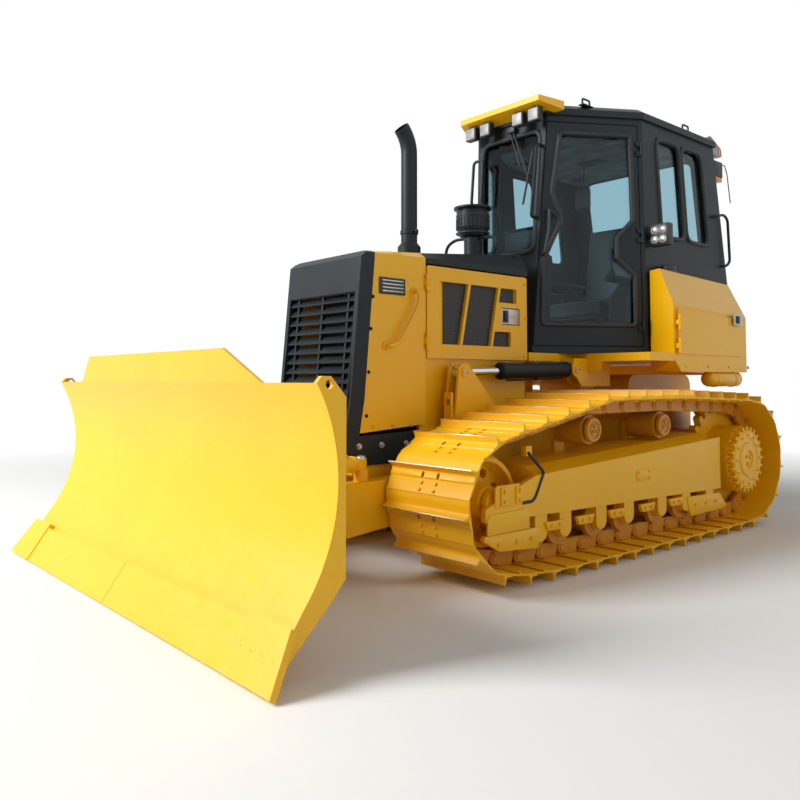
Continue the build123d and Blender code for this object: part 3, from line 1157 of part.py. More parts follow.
with BuildPart() as cab_roof:
    for z, grow in ((CAB_EAVES, 18), (CAB_EAVES + 45, 18)):
        with BuildSketch(Plane.XY.offset(z)):
            Polygon(*cab_outline(1), align=None)
            offset(amount=grow, kind=Kind.INTERSECTION)
    loft(ruled=True)
    for z, grow in ((CAB_EAVES + 45, 18), (ROOF_TOP, -40)):
        with BuildSketch(Plane.XY.offset(z)):
            Polygon(*cab_outline(1), align=None)
            offset(amount=grow, kind=Kind.INTERSECTION)
    loft(ruled=True)
save(cab_roof, "cab_roof")

# sun visor, and the lamps under it
VISOR_FRONT = 333.0
VISOR_HALF = (372.0, 450.0)
with BuildPart() as visor:
    for y, half, low, high in ((VISOR_FRONT, VISOR_HALF[0], ROOF_TOP - 26, ROOF_TOP + 12),
                               (CAB_FRONT_Y[1] + 33, VISOR_HALF[1], CAB_EAVES + 10, ROOF_TOP - 16)):
        with BuildSketch(Plane.XZ.offset(-y)):
            Polygon((-half, low), (half, low), (half, high), (-half, high), align=None)
    loft(ruled=True)
    add(cab_roof.part, mode=Mode.SUBTRACT)
save(visor, "visor")

LAMP = 104.0         # front lamps
LAMP_PLACES = (-299.0, -155.0, 155.0, 299.0)
with BuildPart() as work_lamps:
    for x in LAMP_PLACES:
        with BuildSketch(Plane.XZ.offset(-VISOR_FRONT - 23)):
            with Locations((x, CAB_EAVES - 15)):
                RectangleRounded(LAMP, LAMP, 14)
        extrude(amount=-62)
        with BuildSketch(Plane.XY.offset(CAB_EAVES + 25)):
            with Locations((x, VISOR_FRONT + 57)):
                Rectangle(40, 40)
        extrude(amount=40)
    add(visor.part, mode=Mode.SUBTRACT)
save(work_lamps, "work_lamps")

SEAT_Y = 1480.0
with BuildPart() as seat:
    with BuildSketch(Plane.XY.offset(CAB_FLOOR)):
        with Locations((0, SEAT_Y)):
            RectangleRounded(420, 460, 40)
    extrude(amount=300)
    with BuildSketch(Plane.XY.offset(CAB_FLOOR + 300)):
        with Locations((0, SEAT_Y - 20)):
            RectangleRounded(520, 540, 70)
    extrude(amount=130)
    with BuildSketch(Plane.YZ):
        Polygon((SEAT_Y + 180, CAB_FLOOR + 420), (SEAT_Y + 300, CAB_FLOOR + 420), (SEAT_Y + 420, CAB_FLOOR + 1120),
                (SEAT_Y + 330, CAB_FLOOR + 1120), align=None)
    extrude(amount=250, both=True)
    # arm rests
    for s in (1, -1):
        with BuildSketch(Plane.YZ.offset(s * 290)):
            Polygon((SEAT_Y - 260, CAB_FLOOR + 560), (SEAT_Y + 290, CAB_FLOOR + 560), (SEAT_Y + 290, CAB_FLOOR + 630),
                    (SEAT_Y - 260, CAB_FLOOR + 630), align=None)
            Polygon((SEAT_Y - 60, CAB_FLOOR), (SEAT_Y + 200, CAB_FLOOR), (SEAT_Y + 200, CAB_FLOOR + 600),
                    (SEAT_Y - 60, CAB_FLOOR + 600), align=None)
        extrude(amount=45, both=True)
save(seat, "seat")

with BuildPart() as console:
    with BuildSketch(Plane.YZ):
        Polygon((470, CAB_FLOOR), (640, CAB_FLOOR), (700, 1950), (560, 2010), (470, 1900), align=None)
    extrude(amount=190, both=True)
save(console, "console")
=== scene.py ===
"""A crawler bulldozer's looks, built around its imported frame.

Lengths are in metres unless a name ends in _mm. +X is the machine's left, +Y its rear, +Z up.
"""
import math

import bpy
from mathutils import Matrix, Vector


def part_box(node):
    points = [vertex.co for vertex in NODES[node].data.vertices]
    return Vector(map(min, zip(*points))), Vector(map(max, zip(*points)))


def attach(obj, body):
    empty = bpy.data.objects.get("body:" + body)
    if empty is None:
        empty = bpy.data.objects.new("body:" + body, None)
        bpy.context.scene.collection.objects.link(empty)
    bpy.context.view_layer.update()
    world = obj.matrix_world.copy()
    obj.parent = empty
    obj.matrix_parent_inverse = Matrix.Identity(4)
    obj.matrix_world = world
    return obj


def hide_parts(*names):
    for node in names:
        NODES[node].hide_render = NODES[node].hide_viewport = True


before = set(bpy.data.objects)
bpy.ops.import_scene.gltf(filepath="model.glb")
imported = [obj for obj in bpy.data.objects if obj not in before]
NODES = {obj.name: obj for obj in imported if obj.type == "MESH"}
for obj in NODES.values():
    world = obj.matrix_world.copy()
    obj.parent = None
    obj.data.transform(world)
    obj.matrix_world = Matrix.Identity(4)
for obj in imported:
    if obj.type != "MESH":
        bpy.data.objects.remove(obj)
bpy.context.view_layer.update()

bl_info = {
    "name": "Crawler Bulldozer",
    "version": (1, 0, 0),
    "blender": (4, 5, 0),
    "location": "View3D > Sidebar > Dozer",
    "description": "Builds the finishes and the small parts of a crawler bulldozer",
    "category": "Object",
}

SIDES = ("left", "right")


# ---------------------------------------------------------------- colour and material
def colour(code):
    """Linear colour of an sRGB hex value."""
    parts = [int(code[place:place + 2], 16) / 255 for place in (1, 3, 5)]
    return tuple(p / 12.92 if p <= 0.04045 else ((p + 0.055) / 1.055) ** 2.4 for p in parts) + (1.0,)


def add_node(tree, kind, inputs=None, **settings):
    """One shader node with its settings; an input takes a value or another node's output."""
    made = tree.nodes.new(kind)
    for name, value in settings.items():
        setattr(made, name, value)
    for socket, value in (inputs or {}).items():
        if isinstance(value, bpy.types.NodeSocket):
            tree.links.new(value, made.inputs[socket])
        else:
            made.inputs[socket].default_value = value
    return made


def reckoned(tree, operation, *values):
    """What a sum makes of values or other nodes' outputs."""
    return add_node(tree, "ShaderNodeMath", dict(enumerate(values)), operation=operation).outputs[0]


def feed(shader, **sources):
    """Gives the shader's sockets a value or another node's output each."""
    for name, value in sources.items():
        socket = shader.inputs[name.replace("_", " ")]
        if isinstance(value, bpy.types.NodeSocket):
            shader.id_data.links.new(value, socket)
        else:
            socket.default_value = value


def new_material(name, **sockets):
    """A material with one Principled shader, whose even values stand on the shader's own sockets."""
    made = bpy.data.materials.new(name)
    made.use_nodes = True
    tree = made.node_tree
    shader = next(n for n in tree.nodes if n.type == "BSDF_PRINCIPLED")
    feed(shader, **sockets)
    return made, tree, shader


def own_space(tree):
    """Places in the machine's own space."""
    return add_node(tree, "ShaderNodeTexCoord").outputs["Object"]


def grain(tree, size_mm, detail=3.0, rough=0.5):
    """Noise in the machine's own space with features of a size in millimetres."""
    noise = add_node(tree, "ShaderNodeTexNoise", {"Vector": own_space(tree), "Scale": 1000 / size_mm,
                                                  "Detail": detail, "Roughness": rough})
    return noise.outputs["Fac"]


def between(tree, share, low, high, to_low=0.0, to_high=1.0):
    """A value moved from one range to another and held inside it."""
    made = add_node(tree, "ShaderNodeMapRange", {"Value": share, "From Min": low, "From Max": high,
                                                 "To Min": to_low, "To Max": to_high})
    return made.outputs["Result"]


def blended(tree, share, first, second):
    """Two colours mixed by a share."""
    made = add_node(tree, "ShaderNodeMix", data_type="RGBA")
    for place, value in ((0, share), (6, first), (7, second)):
        if isinstance(value, bpy.types.NodeSocket):
            tree.links.new(value, made.inputs[place])
        else:
            made.inputs[place].default_value = value
    return made.outputs[2]


def raised(tree, height, distance_mm, strength=1.0, under=None):
    """Bump from a height, over another bump if there is one."""
    inputs = {"Height": height, "Distance": distance_mm / 1000, "Strength": strength}
    if under is not None:
        inputs["Normal"] = under
    return add_node(tree, "ShaderNodeBump", inputs).outputs["Normal"]


def enamel(name, base, deep, dust_share=0.25, gloss=0.32, film=0.5):
    """Sprayed enamel on steel plate: a smooth film with slight orange peel, deeper in tone where it
    runs thick, and a veil of dry dust that grows towards the ground."""
    made, tree, shader = new_material(name, IOR=1.5, Specular_IOR_Level=film)
    tone = blended(tree, between(tree, grain(tree, 520), 0.35, 0.7), colour(base), colour(deep))
    height = add_node(tree, "ShaderNodeSeparateXYZ", {"Vector": own_space(tree)}).outputs["Z"]
    low = between(tree, height, 1.3, 0.0)
    cloud = between(tree, grain(tree, 90, detail=6.0, rough=0.65), 0.42, 0.75)
    veil = reckoned(tree, "MULTIPLY", low, cloud)
    share = reckoned(tree, "MULTIPLY", veil, dust_share)
    feed(shader, Base_Color=blended(tree, share, tone, colour("#B59A6B")))
    feed(shader, Roughness=reckoned(tree, "MULTIPLY_ADD", veil, 0.35, gloss))
    # orange peel is about 1 mm across; drawn at 9 mm so that it shows at this distance
    feed(shader, Normal=raised(tree, grain(tree, 9, detail=1.0), 0.25, 0.35))
    return made


def scuffed(name, base, metal, wear_mm=26.0, wear=0.62):
    """Enamel on ground-engaging steel: scraped through in patches to dull, slightly rusted steel."""
    made, tree, shader = new_material(name, IOR=1.5)
    patches = between(tree, grain(tree, wear_mm, detail=8.0, rough=0.7), wear, wear + 0.05)
    feed(shader, Base_Color=blended(tree, patches, colour(base), colour(metal)))
    feed(shader, Roughness=between(tree, patches, 0, 1, 0.42, 0.5))
    feed(shader, Metallic=between(tree, patches, 0, 1, 0.0, 0.8))
    film = raised(tree, grain(tree, 14, detail=4.0), 0.4, 0.5)
    feed(shader, Normal=raised(tree, patches, -0.15, 1.0, film))
    return made


def plated():
    """Hard chrome on a ground rod: a tight mirror with the faint streaks of grinding and an oil film."""
    made, tree, shader = new_material("Ground_Hard_Chrome", Metallic=1.0)
    feed(shader, Base_Color=colour("#C9CCD0"))
    feed(shader, Roughness=between(tree, grain(tree, 60, detail=5.0), 0.3, 0.8, 0.08, 0.24))
    return made


def bare_steel(name, base, rough):
    """Rubbed or zinc-plated steel: a broken grey mirror with fine scratches and a cloudy film."""
    made, tree, shader = new_material(name, Metallic=0.85)
    cloud = grain(tree, 45, detail=6.0, rough=0.7)
    feed(shader, Base_Color=blended(tree, between(tree, cloud, 0.35, 0.75), colour(base), colour("#9A917F")))
    feed(shader, Roughness=between(tree, cloud, 0.3, 0.8, rough - 0.06, rough + 0.14))
    # scratches are under 0.3 mm wide; drawn at 3 mm
    feed(shader, Normal=raised(tree, grain(tree, 3, detail=1.0), 0.1, 0.4))
    return made


def woven_wire():
    """Black woven wire with painted shade between: a grid of round wires, dull enamel on them, the gaps
    painted near-black for the shaded opening behind.
    """
    made, tree, shader = new_material("Black_Woven_Wire_Over_Painted_Shade", IOR=1.5)
    place = own_space(tree)
    # mesh is about 4 mm; drawn at 12 mm so that it shows at this distance
    waves = [add_node(tree, "ShaderNodeTexWave", {"Vector": place, "Scale": 1000 / 12 / 6.4},
                      bands_direction=axis) for axis in ("Y", "Z")]
    grid = reckoned(tree, "MAXIMUM", waves[0].outputs["Fac"], waves[1].outputs["Fac"])
    wire = between(tree, grid, 0.72, 0.95)
    # painted shade: the gaps between the wires are near-black, standing in for the shaded opening behind the
    # sheet
    feed(shader, Base_Color=blended(tree, wire, colour("#08090A"), colour("#222629")))
    feed(shader, Roughness=0.5)
    feed(shader, Normal=raised(tree, wire, 2.0, 0.8))
    return made


def clear_plastic(name, base):
    """Moulded polycarbonate lens: clear and glossy, its inner flutes seen as fine ribs."""
    made, tree, shader = new_material(name, IOR=1.58, Roughness=0.12, Transmission_Weight=0.1)
    feed(shader, Base_Color=blended(tree, between(tree, grain(tree, 25), 0.3, 0.8, 0.0, 0.15), colour(base),
                                    colour("#F4F6F7")))
    # flutes 6 mm apart
    flutes = add_node(tree, "ShaderNodeTexWave", {"Vector": own_space(tree), "Scale": 1000 / 6 / 20},
                      bands_direction="X")
    feed(shader, Normal=raised(tree, flutes.outputs["Fac"], 0.6, 0.6))
    return made


def cast():
    """Sand casting with a thin coat of paint: a pebbled skin and a dull, uneven sheen."""
    made, tree, shader = new_material("Painted_Cast_Iron", IOR=1.5)
    feed(shader, Base_Color=blended(tree, grain(tree, 70), colour("#3A3D40"), colour("#26282A")))
    feed(shader, Roughness=0.6)
    # sand grain is about 0.5 mm; drawn at 5 mm
    feed(shader, Normal=raised(tree, grain(tree, 5, detail=2.0), 0.6, 0.7))
    return made


def tempered_glass():
    """Tempered safety glass, slightly green-blue, with a little dust on it."""
    made, tree, shader = new_material("Tempered_Glass", IOR=1.22, Transmission_Weight=1.0)
    feed(shader, Base_Color=colour("#BCD6DE"))
    feed(shader, Roughness=between(tree, grain(tree, 160, detail=6.0), 0.55, 0.9, 0.0, 0.05))
    return made


def rubber():
    """Extruded EPDM rubber: matt, soft highlights, a fine dry skin."""
    made, tree, shader = new_material("Extruded_Rubber", IOR=1.5)
    feed(shader, Base_Color=blended(tree, grain(tree, 40), colour("#141516"), colour("#24262A")))
    feed(shader, Roughness=0.62)
    feed(shader, Normal=raised(tree, grain(tree, 4, detail=2.0), 0.2, 0.5))
    return made


def moulded(name, base, rough=0.5):
    """Injection-moulded plastic with a spark-eroded grain."""
    made, tree, shader = new_material(name, IOR=1.46)
    feed(shader, Base_Color=blended(tree, grain(tree, 120), colour(base), colour("#2B2D30")))
    feed(shader, Roughness=rough)
    feed(shader, Normal=raised(tree, grain(tree, 3, detail=1.0), 0.15, 0.6))
    return made


def vinyl():
    """Grained vinyl seat cover: cells of embossed leather grain under a low sheen."""
    made, tree, shader = new_material("Grained_Vinyl", IOR=1.5, Sheen_Weight=0.1)
    # embossed cells are about 2 mm; drawn at 7 mm
    cells = add_node(tree, "ShaderNodeTexVoronoi", {"Vector": own_space(tree), "Scale": 1000 / 7},
                     feature="DISTANCE_TO_EDGE")
    feed(shader, Base_Color=blended(tree, grain(tree, 60), colour("#1B1C1F"), colour("#2A2C30")))
    feed(shader, Roughness=0.48)
    feed(shader, Normal=raised(tree, cells.outputs["Distance"], 0.4, 0.6))
    return made


# ---------------------------------------------------------------- sizes and colours a user may change
class DozerPaint(bpy.types.PropertyGroup):
    yellow: bpy.props.StringProperty(name="Body colour", description="Hex colour of the body's enamel",
                                     default="#F9BE06")
    dark: bpy.props.StringProperty(name="Cab colour", description="Hex colour of the cab and hood top",
                                   default="#1C272C")


class DozerTrack(bpy.types.PropertyGroup):
    pitch: bpy.props.FloatProperty(name="Pitch", description="From pin to pin of the chain", unit="LENGTH",
                                   default=0.190)
    links: bpy.props.IntProperty(name="Shoes", description="Shoes on each track", default=39)
    gauge: bpy.props.FloatProperty(name="Gauge", description="Between the middles of the two tracks",
                                   unit="LENGTH", default=1.612)
    shoe_width: bpy.props.FloatProperty(name="Shoe width", description="Width of a shoe", unit="LENGTH",
                                        default=0.612)
    grouser: bpy.props.FloatProperty(name="Grouser", description="Height of the grouser above the shoe",
                                     unit="LENGTH", default=0.048)


class DozerStage(bpy.types.PropertyGroup):
    camera_place: bpy.props.FloatVectorProperty(name="Camera", description="Where the camera stands",
                                                unit="LENGTH", subtype="TRANSLATION",
                                                default=(3.708, -3.821, 1.053))
    camera_turn: bpy.props.FloatProperty(name="Azimuth", description="Turn of the camera about the vertical",
                                         subtype="ANGLE", default=math.radians(49.0))
    camera_rise: bpy.props.FloatProperty(name="Rise", description="How far the camera looks up",
                                         subtype="ANGLE", default=math.radians(2.96))
    focal_mm: bpy.props.FloatProperty(name="Focal length", description="Focal length on a 36 mm sensor",
                                      default=35.1)


MATERIALS = {}


def finishes():
    """Makes the materials once."""
    if MATERIALS:
        return MATERIALS
    paint = bpy.context.scene.dozer_paint
    MATERIALS.update({
        "yellow": enamel("Yellow_Enamel", paint.yellow, "#F6B905", dust_share=0.10),
        "dark": enamel("Dark_Enamel", paint.dark, "#161A1D", dust_share=0.05, gloss=0.44, film=0.22),
        "track": scuffed("Scuffed_Enamel_On_Track_Steel", "#F6B90A", "#A98B4E", wear=0.70),
        # links: deeper orange than the shoes, partly dust and partly painted shade for the shadow inside the
        # chain
        "chain": scuffed("Scuffed_Enamel_With_Painted_Shade_On_Forged_Links", "#D08E18", "#6E5E4C", wear_mm=40),
        # rollers: darker orange-brown, partly dirt and partly painted shade for the shadow under the track
        # frames
        "roller": scuffed("Scuffed_Enamel_With_Painted_Shade_On_Roller_Castings", "#C98A1A", "#6E5E4C", wear_mm=60),
        "grouser_edge": bare_steel("Rubbed_Grouser_Steel", "#D9D3C4", 0.34),
        "silver": bare_steel("Zinc_Plated_Steel", "#B9BCBE", 0.38),
        "wire": woven_wire(),
        "amber": clear_plastic("Amber_Lamp_Lens", "#F08018"),
        "red": clear_plastic("Red_Lamp_Lens", "#C01A12"),
        # also given to the front lamps' lenses, where the white is a painted reflection of their silver
        # reflectors
        "white": moulded("White_Lamp_Housing", "#D9DBDA", 0.35),
        "cream": moulded("Headliner_Board", "#8F9294", 0.8),
        "chrome": plated(),
        "cast": cast(),
        "glass": tempered_glass(),
        "rubber": rubber(),
        "plastic": moulded("Moulded_Plastic", "#1E2023"),
        "vinyl": vinyl(),
    })
    return MATERIALS


NODE_FINISH = {
    "yellow": (
        "blade", "cutting_edge", "blade_yoke", "c_frame", "main_frame", "platform", "nose_panels",
        "engine_door_left", "engine_door_right", "tank_left", "tank_right", "tank_door_left",
        "tank_door_right", "rear_tank", "visor", "hood_frame", "angle_barrel_left", "angle_barrel_right",
        "tilt_barrel", "track_frame_left", "track_frame_right", "idlers", "final_drives"),
    # rollers in their darker enamel, partly painted shade
    "roller": ("rollers",),
    "dark": (
        "hood", "lift_barrel_left", "lift_barrel_right", "front_guard", "grille_surround", "grille",
        "exhaust", "pre_cleaner", "cab_frame", "cab_roof", "cab_door_left", "cab_door_right"),
    "track": ("track_left", "track_right"),
    "chrome": ("lift_rod_left", "lift_rod_right", "angle_rod_left", "angle_rod_right", "tilt_rod"),
    "cast": ("engine",),
    "glass": ("cab_glass", "door_glass_left", "door_glass_right"),
    "plastic": ("console", "work_lamps"),
    "vinyl": ("seat",),
}


class DOZER_OT_nodes(bpy.types.Operator):
    """Gives every solid of the frame its finish"""
    bl_idname = "dozer.nodes"
    bl_label = "Finish the solids"

    def execute(self, context):
        made = finishes()
        for finish, names in NODE_FINISH.items():
            for name in names:
                node = NODES[name]
                node.data.materials.clear()
                node.data.materials.append(made[finish])
        return {"FINISHED"}


# ---------------------------------------------------------------- shaping
# edges sharper than this are rounded, and faces that meet flatter than this are shaded smooth
SHARP, SMOOTH = math.radians(40), math.radians(35)
# points nearer to each other than this are one point
WELD = 0.0002
AXES = {"X": Vector((1, 0, 0)), "Y": Vector((0, 1, 0)), "Z": Vector((0, 0, 1))}
TURNS = {"X": (0, math.pi / 2, 0), "Y": (math.pi / 2, 0, 0), "Z": (0, 0, 0)}


def only(*chosen):
    """Selects these objects alone and makes the first one active."""
    bpy.ops.object.select_all(action="DESELECT")
    for made in chosen:
        made.select_set(True)
    bpy.context.view_layer.objects.active = chosen[0]


def settled():
    """Applies the active object's place, so that it sits at the origin, and hands it back."""
    bpy.ops.object.transform_apply(location=True, rotation=True, scale=True)
    return bpy.context.object


def block(low, high):
    """A block between two corners, to be shaped further."""
    bpy.ops.object.select_all(action="DESELECT")
    bpy.ops.mesh.primitive_cube_add(size=1, location=[(a + b) / 2 for a, b in zip(low, high)],
                                    scale=[b - a for a, b in zip(low, high)])
    return settled()


def disc(centre, radius, depth, axis="X", sides=40):
    """A round blank on an axis, to be shaped further."""
    bpy.ops.object.select_all(action="DESELECT")
    bpy.ops.mesh.primitive_cylinder_add(vertices=sides, radius=radius, depth=depth, location=centre,
                                        rotation=TURNS[axis])
    return settled()


def drawn(points, edges=(), faces=()):
    """A new object whose mesh holds a drawn line or outline."""
    mesh = bpy.data.meshes.new("drawn")
    mesh.from_pydata([Vector(p) for p in points], edges, faces)
    made = bpy.data.objects.new("drawn", mesh)
    bpy.context.collection.objects.link(made)
    only(made)
    return made


def edited(made, *steps):
    """Runs edit-mode steps with everything selected, each an operator and its settings."""
    only(made)
    bpy.ops.object.mode_set(mode="EDIT")
    bpy.ops.mesh.select_all(action="SELECT")
    for step, settings in steps:
        step(**settings)
    bpy.ops.object.mode_set(mode="OBJECT")
    return made


def pushed(points, push):
    """A flat outline pushed along a vector into a solid."""
    made = drawn(points, faces=[range(len(points))])
    return edited(
        made,
        (bpy.ops.mesh.extrude_region_move, {"TRANSFORM_OT_translate": {"value": push}}),
        (bpy.ops.mesh.select_all, {"action": "SELECT"}),
        (bpy.ops.mesh.normals_make_consistent, {"inside": False}))


def turned(profile, centre, axis="X", steps=40):
    """A profile of radius and place along the axis, spun full circle."""
    along = AXES[axis]
    out = AXES["Z" if axis != "Z" else "X"]
    points = [Vector(centre) + out * radius + along * place for radius, place in profile]
    made = drawn(points, edges=[(k, k + 1) for k in range(len(points) - 1)])
    return edited(
        made,
        (bpy.ops.mesh.spin, {"steps": steps, "angle": 2 * math.pi, "center": centre, "axis": along}),
        (bpy.ops.mesh.select_all, {"action": "SELECT"}),
        (bpy.ops.mesh.remove_doubles, {"threshold": WELD}),
        (bpy.ops.mesh.normals_make_consistent, {"inside": False}))


def bevelled(made, width, segments=2):
    """Rounds the sharp edges."""
    only(made)
    edge = made.modifiers.new("Bevel", "BEVEL")
    edge.width = width
    edge.segments = segments
    edge.angle_limit = SHARP
    bpy.ops.object.modifier_apply(modifier=edge.name)
    return made


def rounded(low, high, width, segments=2):
    """A block between two corners, with its edges rounded."""
    return bevelled(block(low, high), width, segments)


def plate(x, outline, thickness, width, segments=2):
    """An outline of Y and Z at a place on X, pushed to a thickness, with its edges rounded."""
    return bevelled(pushed([(x, y, z) for y, z in outline], (thickness, 0, 0)), width, segments)


def joined(parts):
    """One object from several."""
    only(*parts)
    if len(parts) > 1:
        bpy.ops.object.join()
    return bpy.context.object


def pierced(made, cutters):
    """Cuts other solids, which go, out of a piece."""
    cutter = joined(cutters)
    only(made)
    cut = made.modifiers.new("Cut", "BOOLEAN")
    cut.object = cutter
    bpy.ops.object.modifier_apply(modifier=cut.name)
    bpy.data.objects.remove(cutter)


def divided(count, start=0.0):
    """Angles that divide a full turn evenly, from a share of one step."""
    return [2 * math.pi * (k + start) / count for k in range(count)]


def spun(made, centre, axis, count):
    """One object from copies of a model, evenly turned about an axis and moved to a centre."""
    return repeated(made, [Matrix.Translation(centre) @ Matrix.Rotation(t, 4, axis) for t in divided(count)])


def around(centre, radius, angles):
    """Places on a circle across X."""
    return [Vector(centre) + Vector((0, radius * math.cos(t), radius * math.sin(t))) for t in angles]


def copied(made, place):
    """A copy with its own mesh, put in place by a matrix or a shift."""
    other = made.copy()
    other.data = made.data.copy()
    bpy.context.collection.objects.link(other)
    if not isinstance(place, Matrix):
        place = Matrix.Translation(place)
    other.data.transform(place)
    if place.determinant() < 0:
        other.data.flip_normals()
    return other


def repeated(made, places):
    """One object from copies of a model, which goes."""
    copies = [copied(made, place) for place in places]
    bpy.data.objects.remove(made)
    return joined(copies)


def corner(points, at, bend, steps=5):
    """Points of a rounded corner."""
    here, before, after = points[at], points[at - 1], points[(at + 1) % len(points)]
    first, second = (before - here), (after - here)
    reach = min(bend, first.length * 0.49, second.length * 0.49)
    start, end = here + first.normalized() * reach, here + second.normalized() * reach
    return [start.lerp(here, t).lerp(here.lerp(end, t), t) for t in [k / steps for k in range(steps + 1)]]


def tube(points, radius, bend=0.03, closed=False):
    """A bent tube or an extruded seal along a line of points, as a mesh."""
    points = [Vector(p) for p in points]
    line = []
    for at in range(len(points)):
        if not closed and at in (0, len(points) - 1):
            line.append(points[at])
        else:
            line.extend(corner(points, at, bend))
    curve = bpy.data.curves.new("tube", "CURVE")
    curve.dimensions = "3D"
    curve.bevel_depth = radius
    curve.bevel_resolution = 3
    curve.use_fill_caps = True
    spline = curve.splines.new("POLY")
    spline.points.add(len(line) - 1)
    for knot, place in zip(spline.points, line):
        knot.co = (*place, 1.0)
    spline.use_cyclic_u = closed
    made = bpy.data.objects.new("tube", curve)
    bpy.context.collection.objects.link(made)
    only(made)
    bpy.ops.object.convert(target="MESH")
    return bpy.context.object


def bolts(places, axis="X", radius=0.011, height=0.009):
    """Hexagon heads on their washers, one at each place."""
    head = disc((0, 0, height * 0.75), radius, height, "Z", 6)
    washer = disc((0, 0, height * 0.12), radius * 1.35, height * 0.24, "Z", 16)
    model = bevelled(joined([head, washer]), radius * 0.12, 1)
    if isinstance(axis, str):
        axis = AXES[axis]
    turn = Vector(axis).to_track_quat("Z", "Y").to_matrix().to_4x4()
    return repeated(model, [Matrix.Translation(place) @ turn for place in places])


def piece(made, name, finish, body="machine"):
    """Names a finished piece, gives it its finish and lets it ride on a body."""
    made.name = name
    made.data.name = name
    made.data.materials.clear()
    made.data.materials.append(finishes()[finish])
    only(made)
    bpy.ops.object.shade_smooth_by_angle(angle=SMOOTH)
    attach(made, body)
    return made


MIRROR = Matrix.Scale(-1, 4, (1, 0, 0))


def pair(made, name, finish, body="machine"):
    """The left piece and its mirror image on the right; a body that ends in _ has one for each side."""
    other = copied(made, MIRROR)
    tail = {1: "left", -1: "right"} if body.endswith("_") else {1: "", -1: ""}
    piece(made, name + "_left", finish, body + tail[1])
    piece(other, name + "_right", finish, body + tail[-1])
    return made, other


# ---------------------------------------------------------------- tracks
ROLLER_PLACES = (-0.445, -0.231, 0.110, 0.400, 0.780, 1.082, 1.398)
CARRIER_PLACES = (0.120, 0.910)
ROLLER_Z, CARRIER_Z, IDLER_Z = 0.236, 0.760, 0.422
# radius at which the chain's pins pass over a roller and over the idler
ON_ROLLER, ON_IDLER = 0.138, 0.298
# one pitch of the chain spans two of the sprocket's teeth
SPROCKET_Y, SPROCKET_FOOT, SPROCKET_TEETH = 1.836, 0.100, 25
# the first pin's way along the chain
FIRST_PIN = 0.087
# top face of a shoe above the pin line
SHOE_TOP = 0.050


def sprocket(size):
    """Place, height and pin radius of the sprocket."""
    radius = size.pitch / (2 * math.sin(2 * math.pi / SPROCKET_TEETH))
    return SPROCKET_Y, SPROCKET_FOOT + radius, radius


def wraps(size, idler_y):
    """Discs that the chain's pins wrap: place, height and radius, from the sprocket forward over the top."""
    return ((sprocket(size),) + tuple((y, CARRIER_Z, ON_ROLLER) for y in reversed(CARRIER_PLACES))
            + ((idler_y, IDLER_Z, ON_IDLER),) + tuple((y, ROLLER_Z, ON_ROLLER) for y in ROLLER_PLACES[::6]))


def runs(size, idler_y):
    """Arcs and straight runs of the pin line: kind, disc, start angle, length."""
    discs = wraps(size, idler_y)
    tangents = []
    for first, second in zip(discs, discs[1:] + discs[:1]):
        reach = math.hypot(second[0] - first[0], second[1] - first[1])
        heading = math.atan2(second[1] - first[1], second[0] - first[0])
        tangents.append((heading - math.pi / 2 + math.asin((first[2] - second[2]) / reach),
                         math.sqrt(reach ** 2 - (first[2] - second[2]) ** 2)))
    line = []
    for at, disc in enumerate(discs):
        turn = (tangents[at][0] - tangents[at - 1][0]) % (2 * math.pi)
        line.append((True, disc, tangents[at - 1][0], turn * disc[2]))
        line.append((False, disc, tangents[at][0], tangents[at][1]))
    return line


def pin_places(size):
    """Every pin of the chain, with the idler where the chain closes."""
    near, far = -0.4, -1.2
    for _ in range(40):
        middle = (near + far) / 2
        if sum(run[3] for run in runs(size, middle)) < size.pitch * size.links:
            near = middle
        else:
            far = middle
    line = runs(size, middle)
    whole = sum(run[3] for run in line)
    pins = []
    for k in range(size.links):
        way = (FIRST_PIN + whole * k / size.links) % whole
        for arc, (y, z, radius), start, length in line:
            if way <= length:
                break
            way -= length
        angle = start + way / radius if arc else start
        on = 0 if arc else way
        pins.append(Vector((0, y + radius * math.cos(angle) - on * math.sin(angle),
                            z + radius * math.sin(angle) + on * math.cos(angle))))
    return pins


def shoe(size):
    """One track shoe above its link: the rolled plate with its grouser, two mud holes and four bolts."""
    top = SHOE_TOP
    tip = top + size.grouser
    profile = ((-0.034, 0.026), (-0.005, 0.038), (0.006, 0.040), (0.192, 0.040), (0.192, top - 0.001),
               (0.113, top - 0.001), (0.108, top + 0.006), (0.086, top + 0.007), (0.071, top + 0.010),
               (0.066, top + 0.020), (0.063, tip), (0.054, tip), (0.052, top + 0.020), (0.047, top + 0.008),
               (0.038, top), (0.008, top), (-0.004, 0.046), (-0.036, 0.033))
    half = size.shoe_width / 2
    made = plate(-half, profile, 2 * half, 0.0016, 1)
    holes = [disc((x, 0.094, 0.05), 0.011, 0.06, "Z", 16) for x in (-0.056, 0.056)]
    for hole in holes:
        hole.data.transform(Matrix.Translation((0, 0.094, 0)) @ Matrix.Scale(1.5, 4, (0, 1, 0))
                            @ Matrix.Translation((0, -0.094, 0)))
    pierced(made, holes)
    heads = bolts([(x, u, top - 0.002) for x in (-0.052, 0.052) for u in (0.134, 0.172)], "Z", 0.010, 0.009)
    return joined([made, heads])


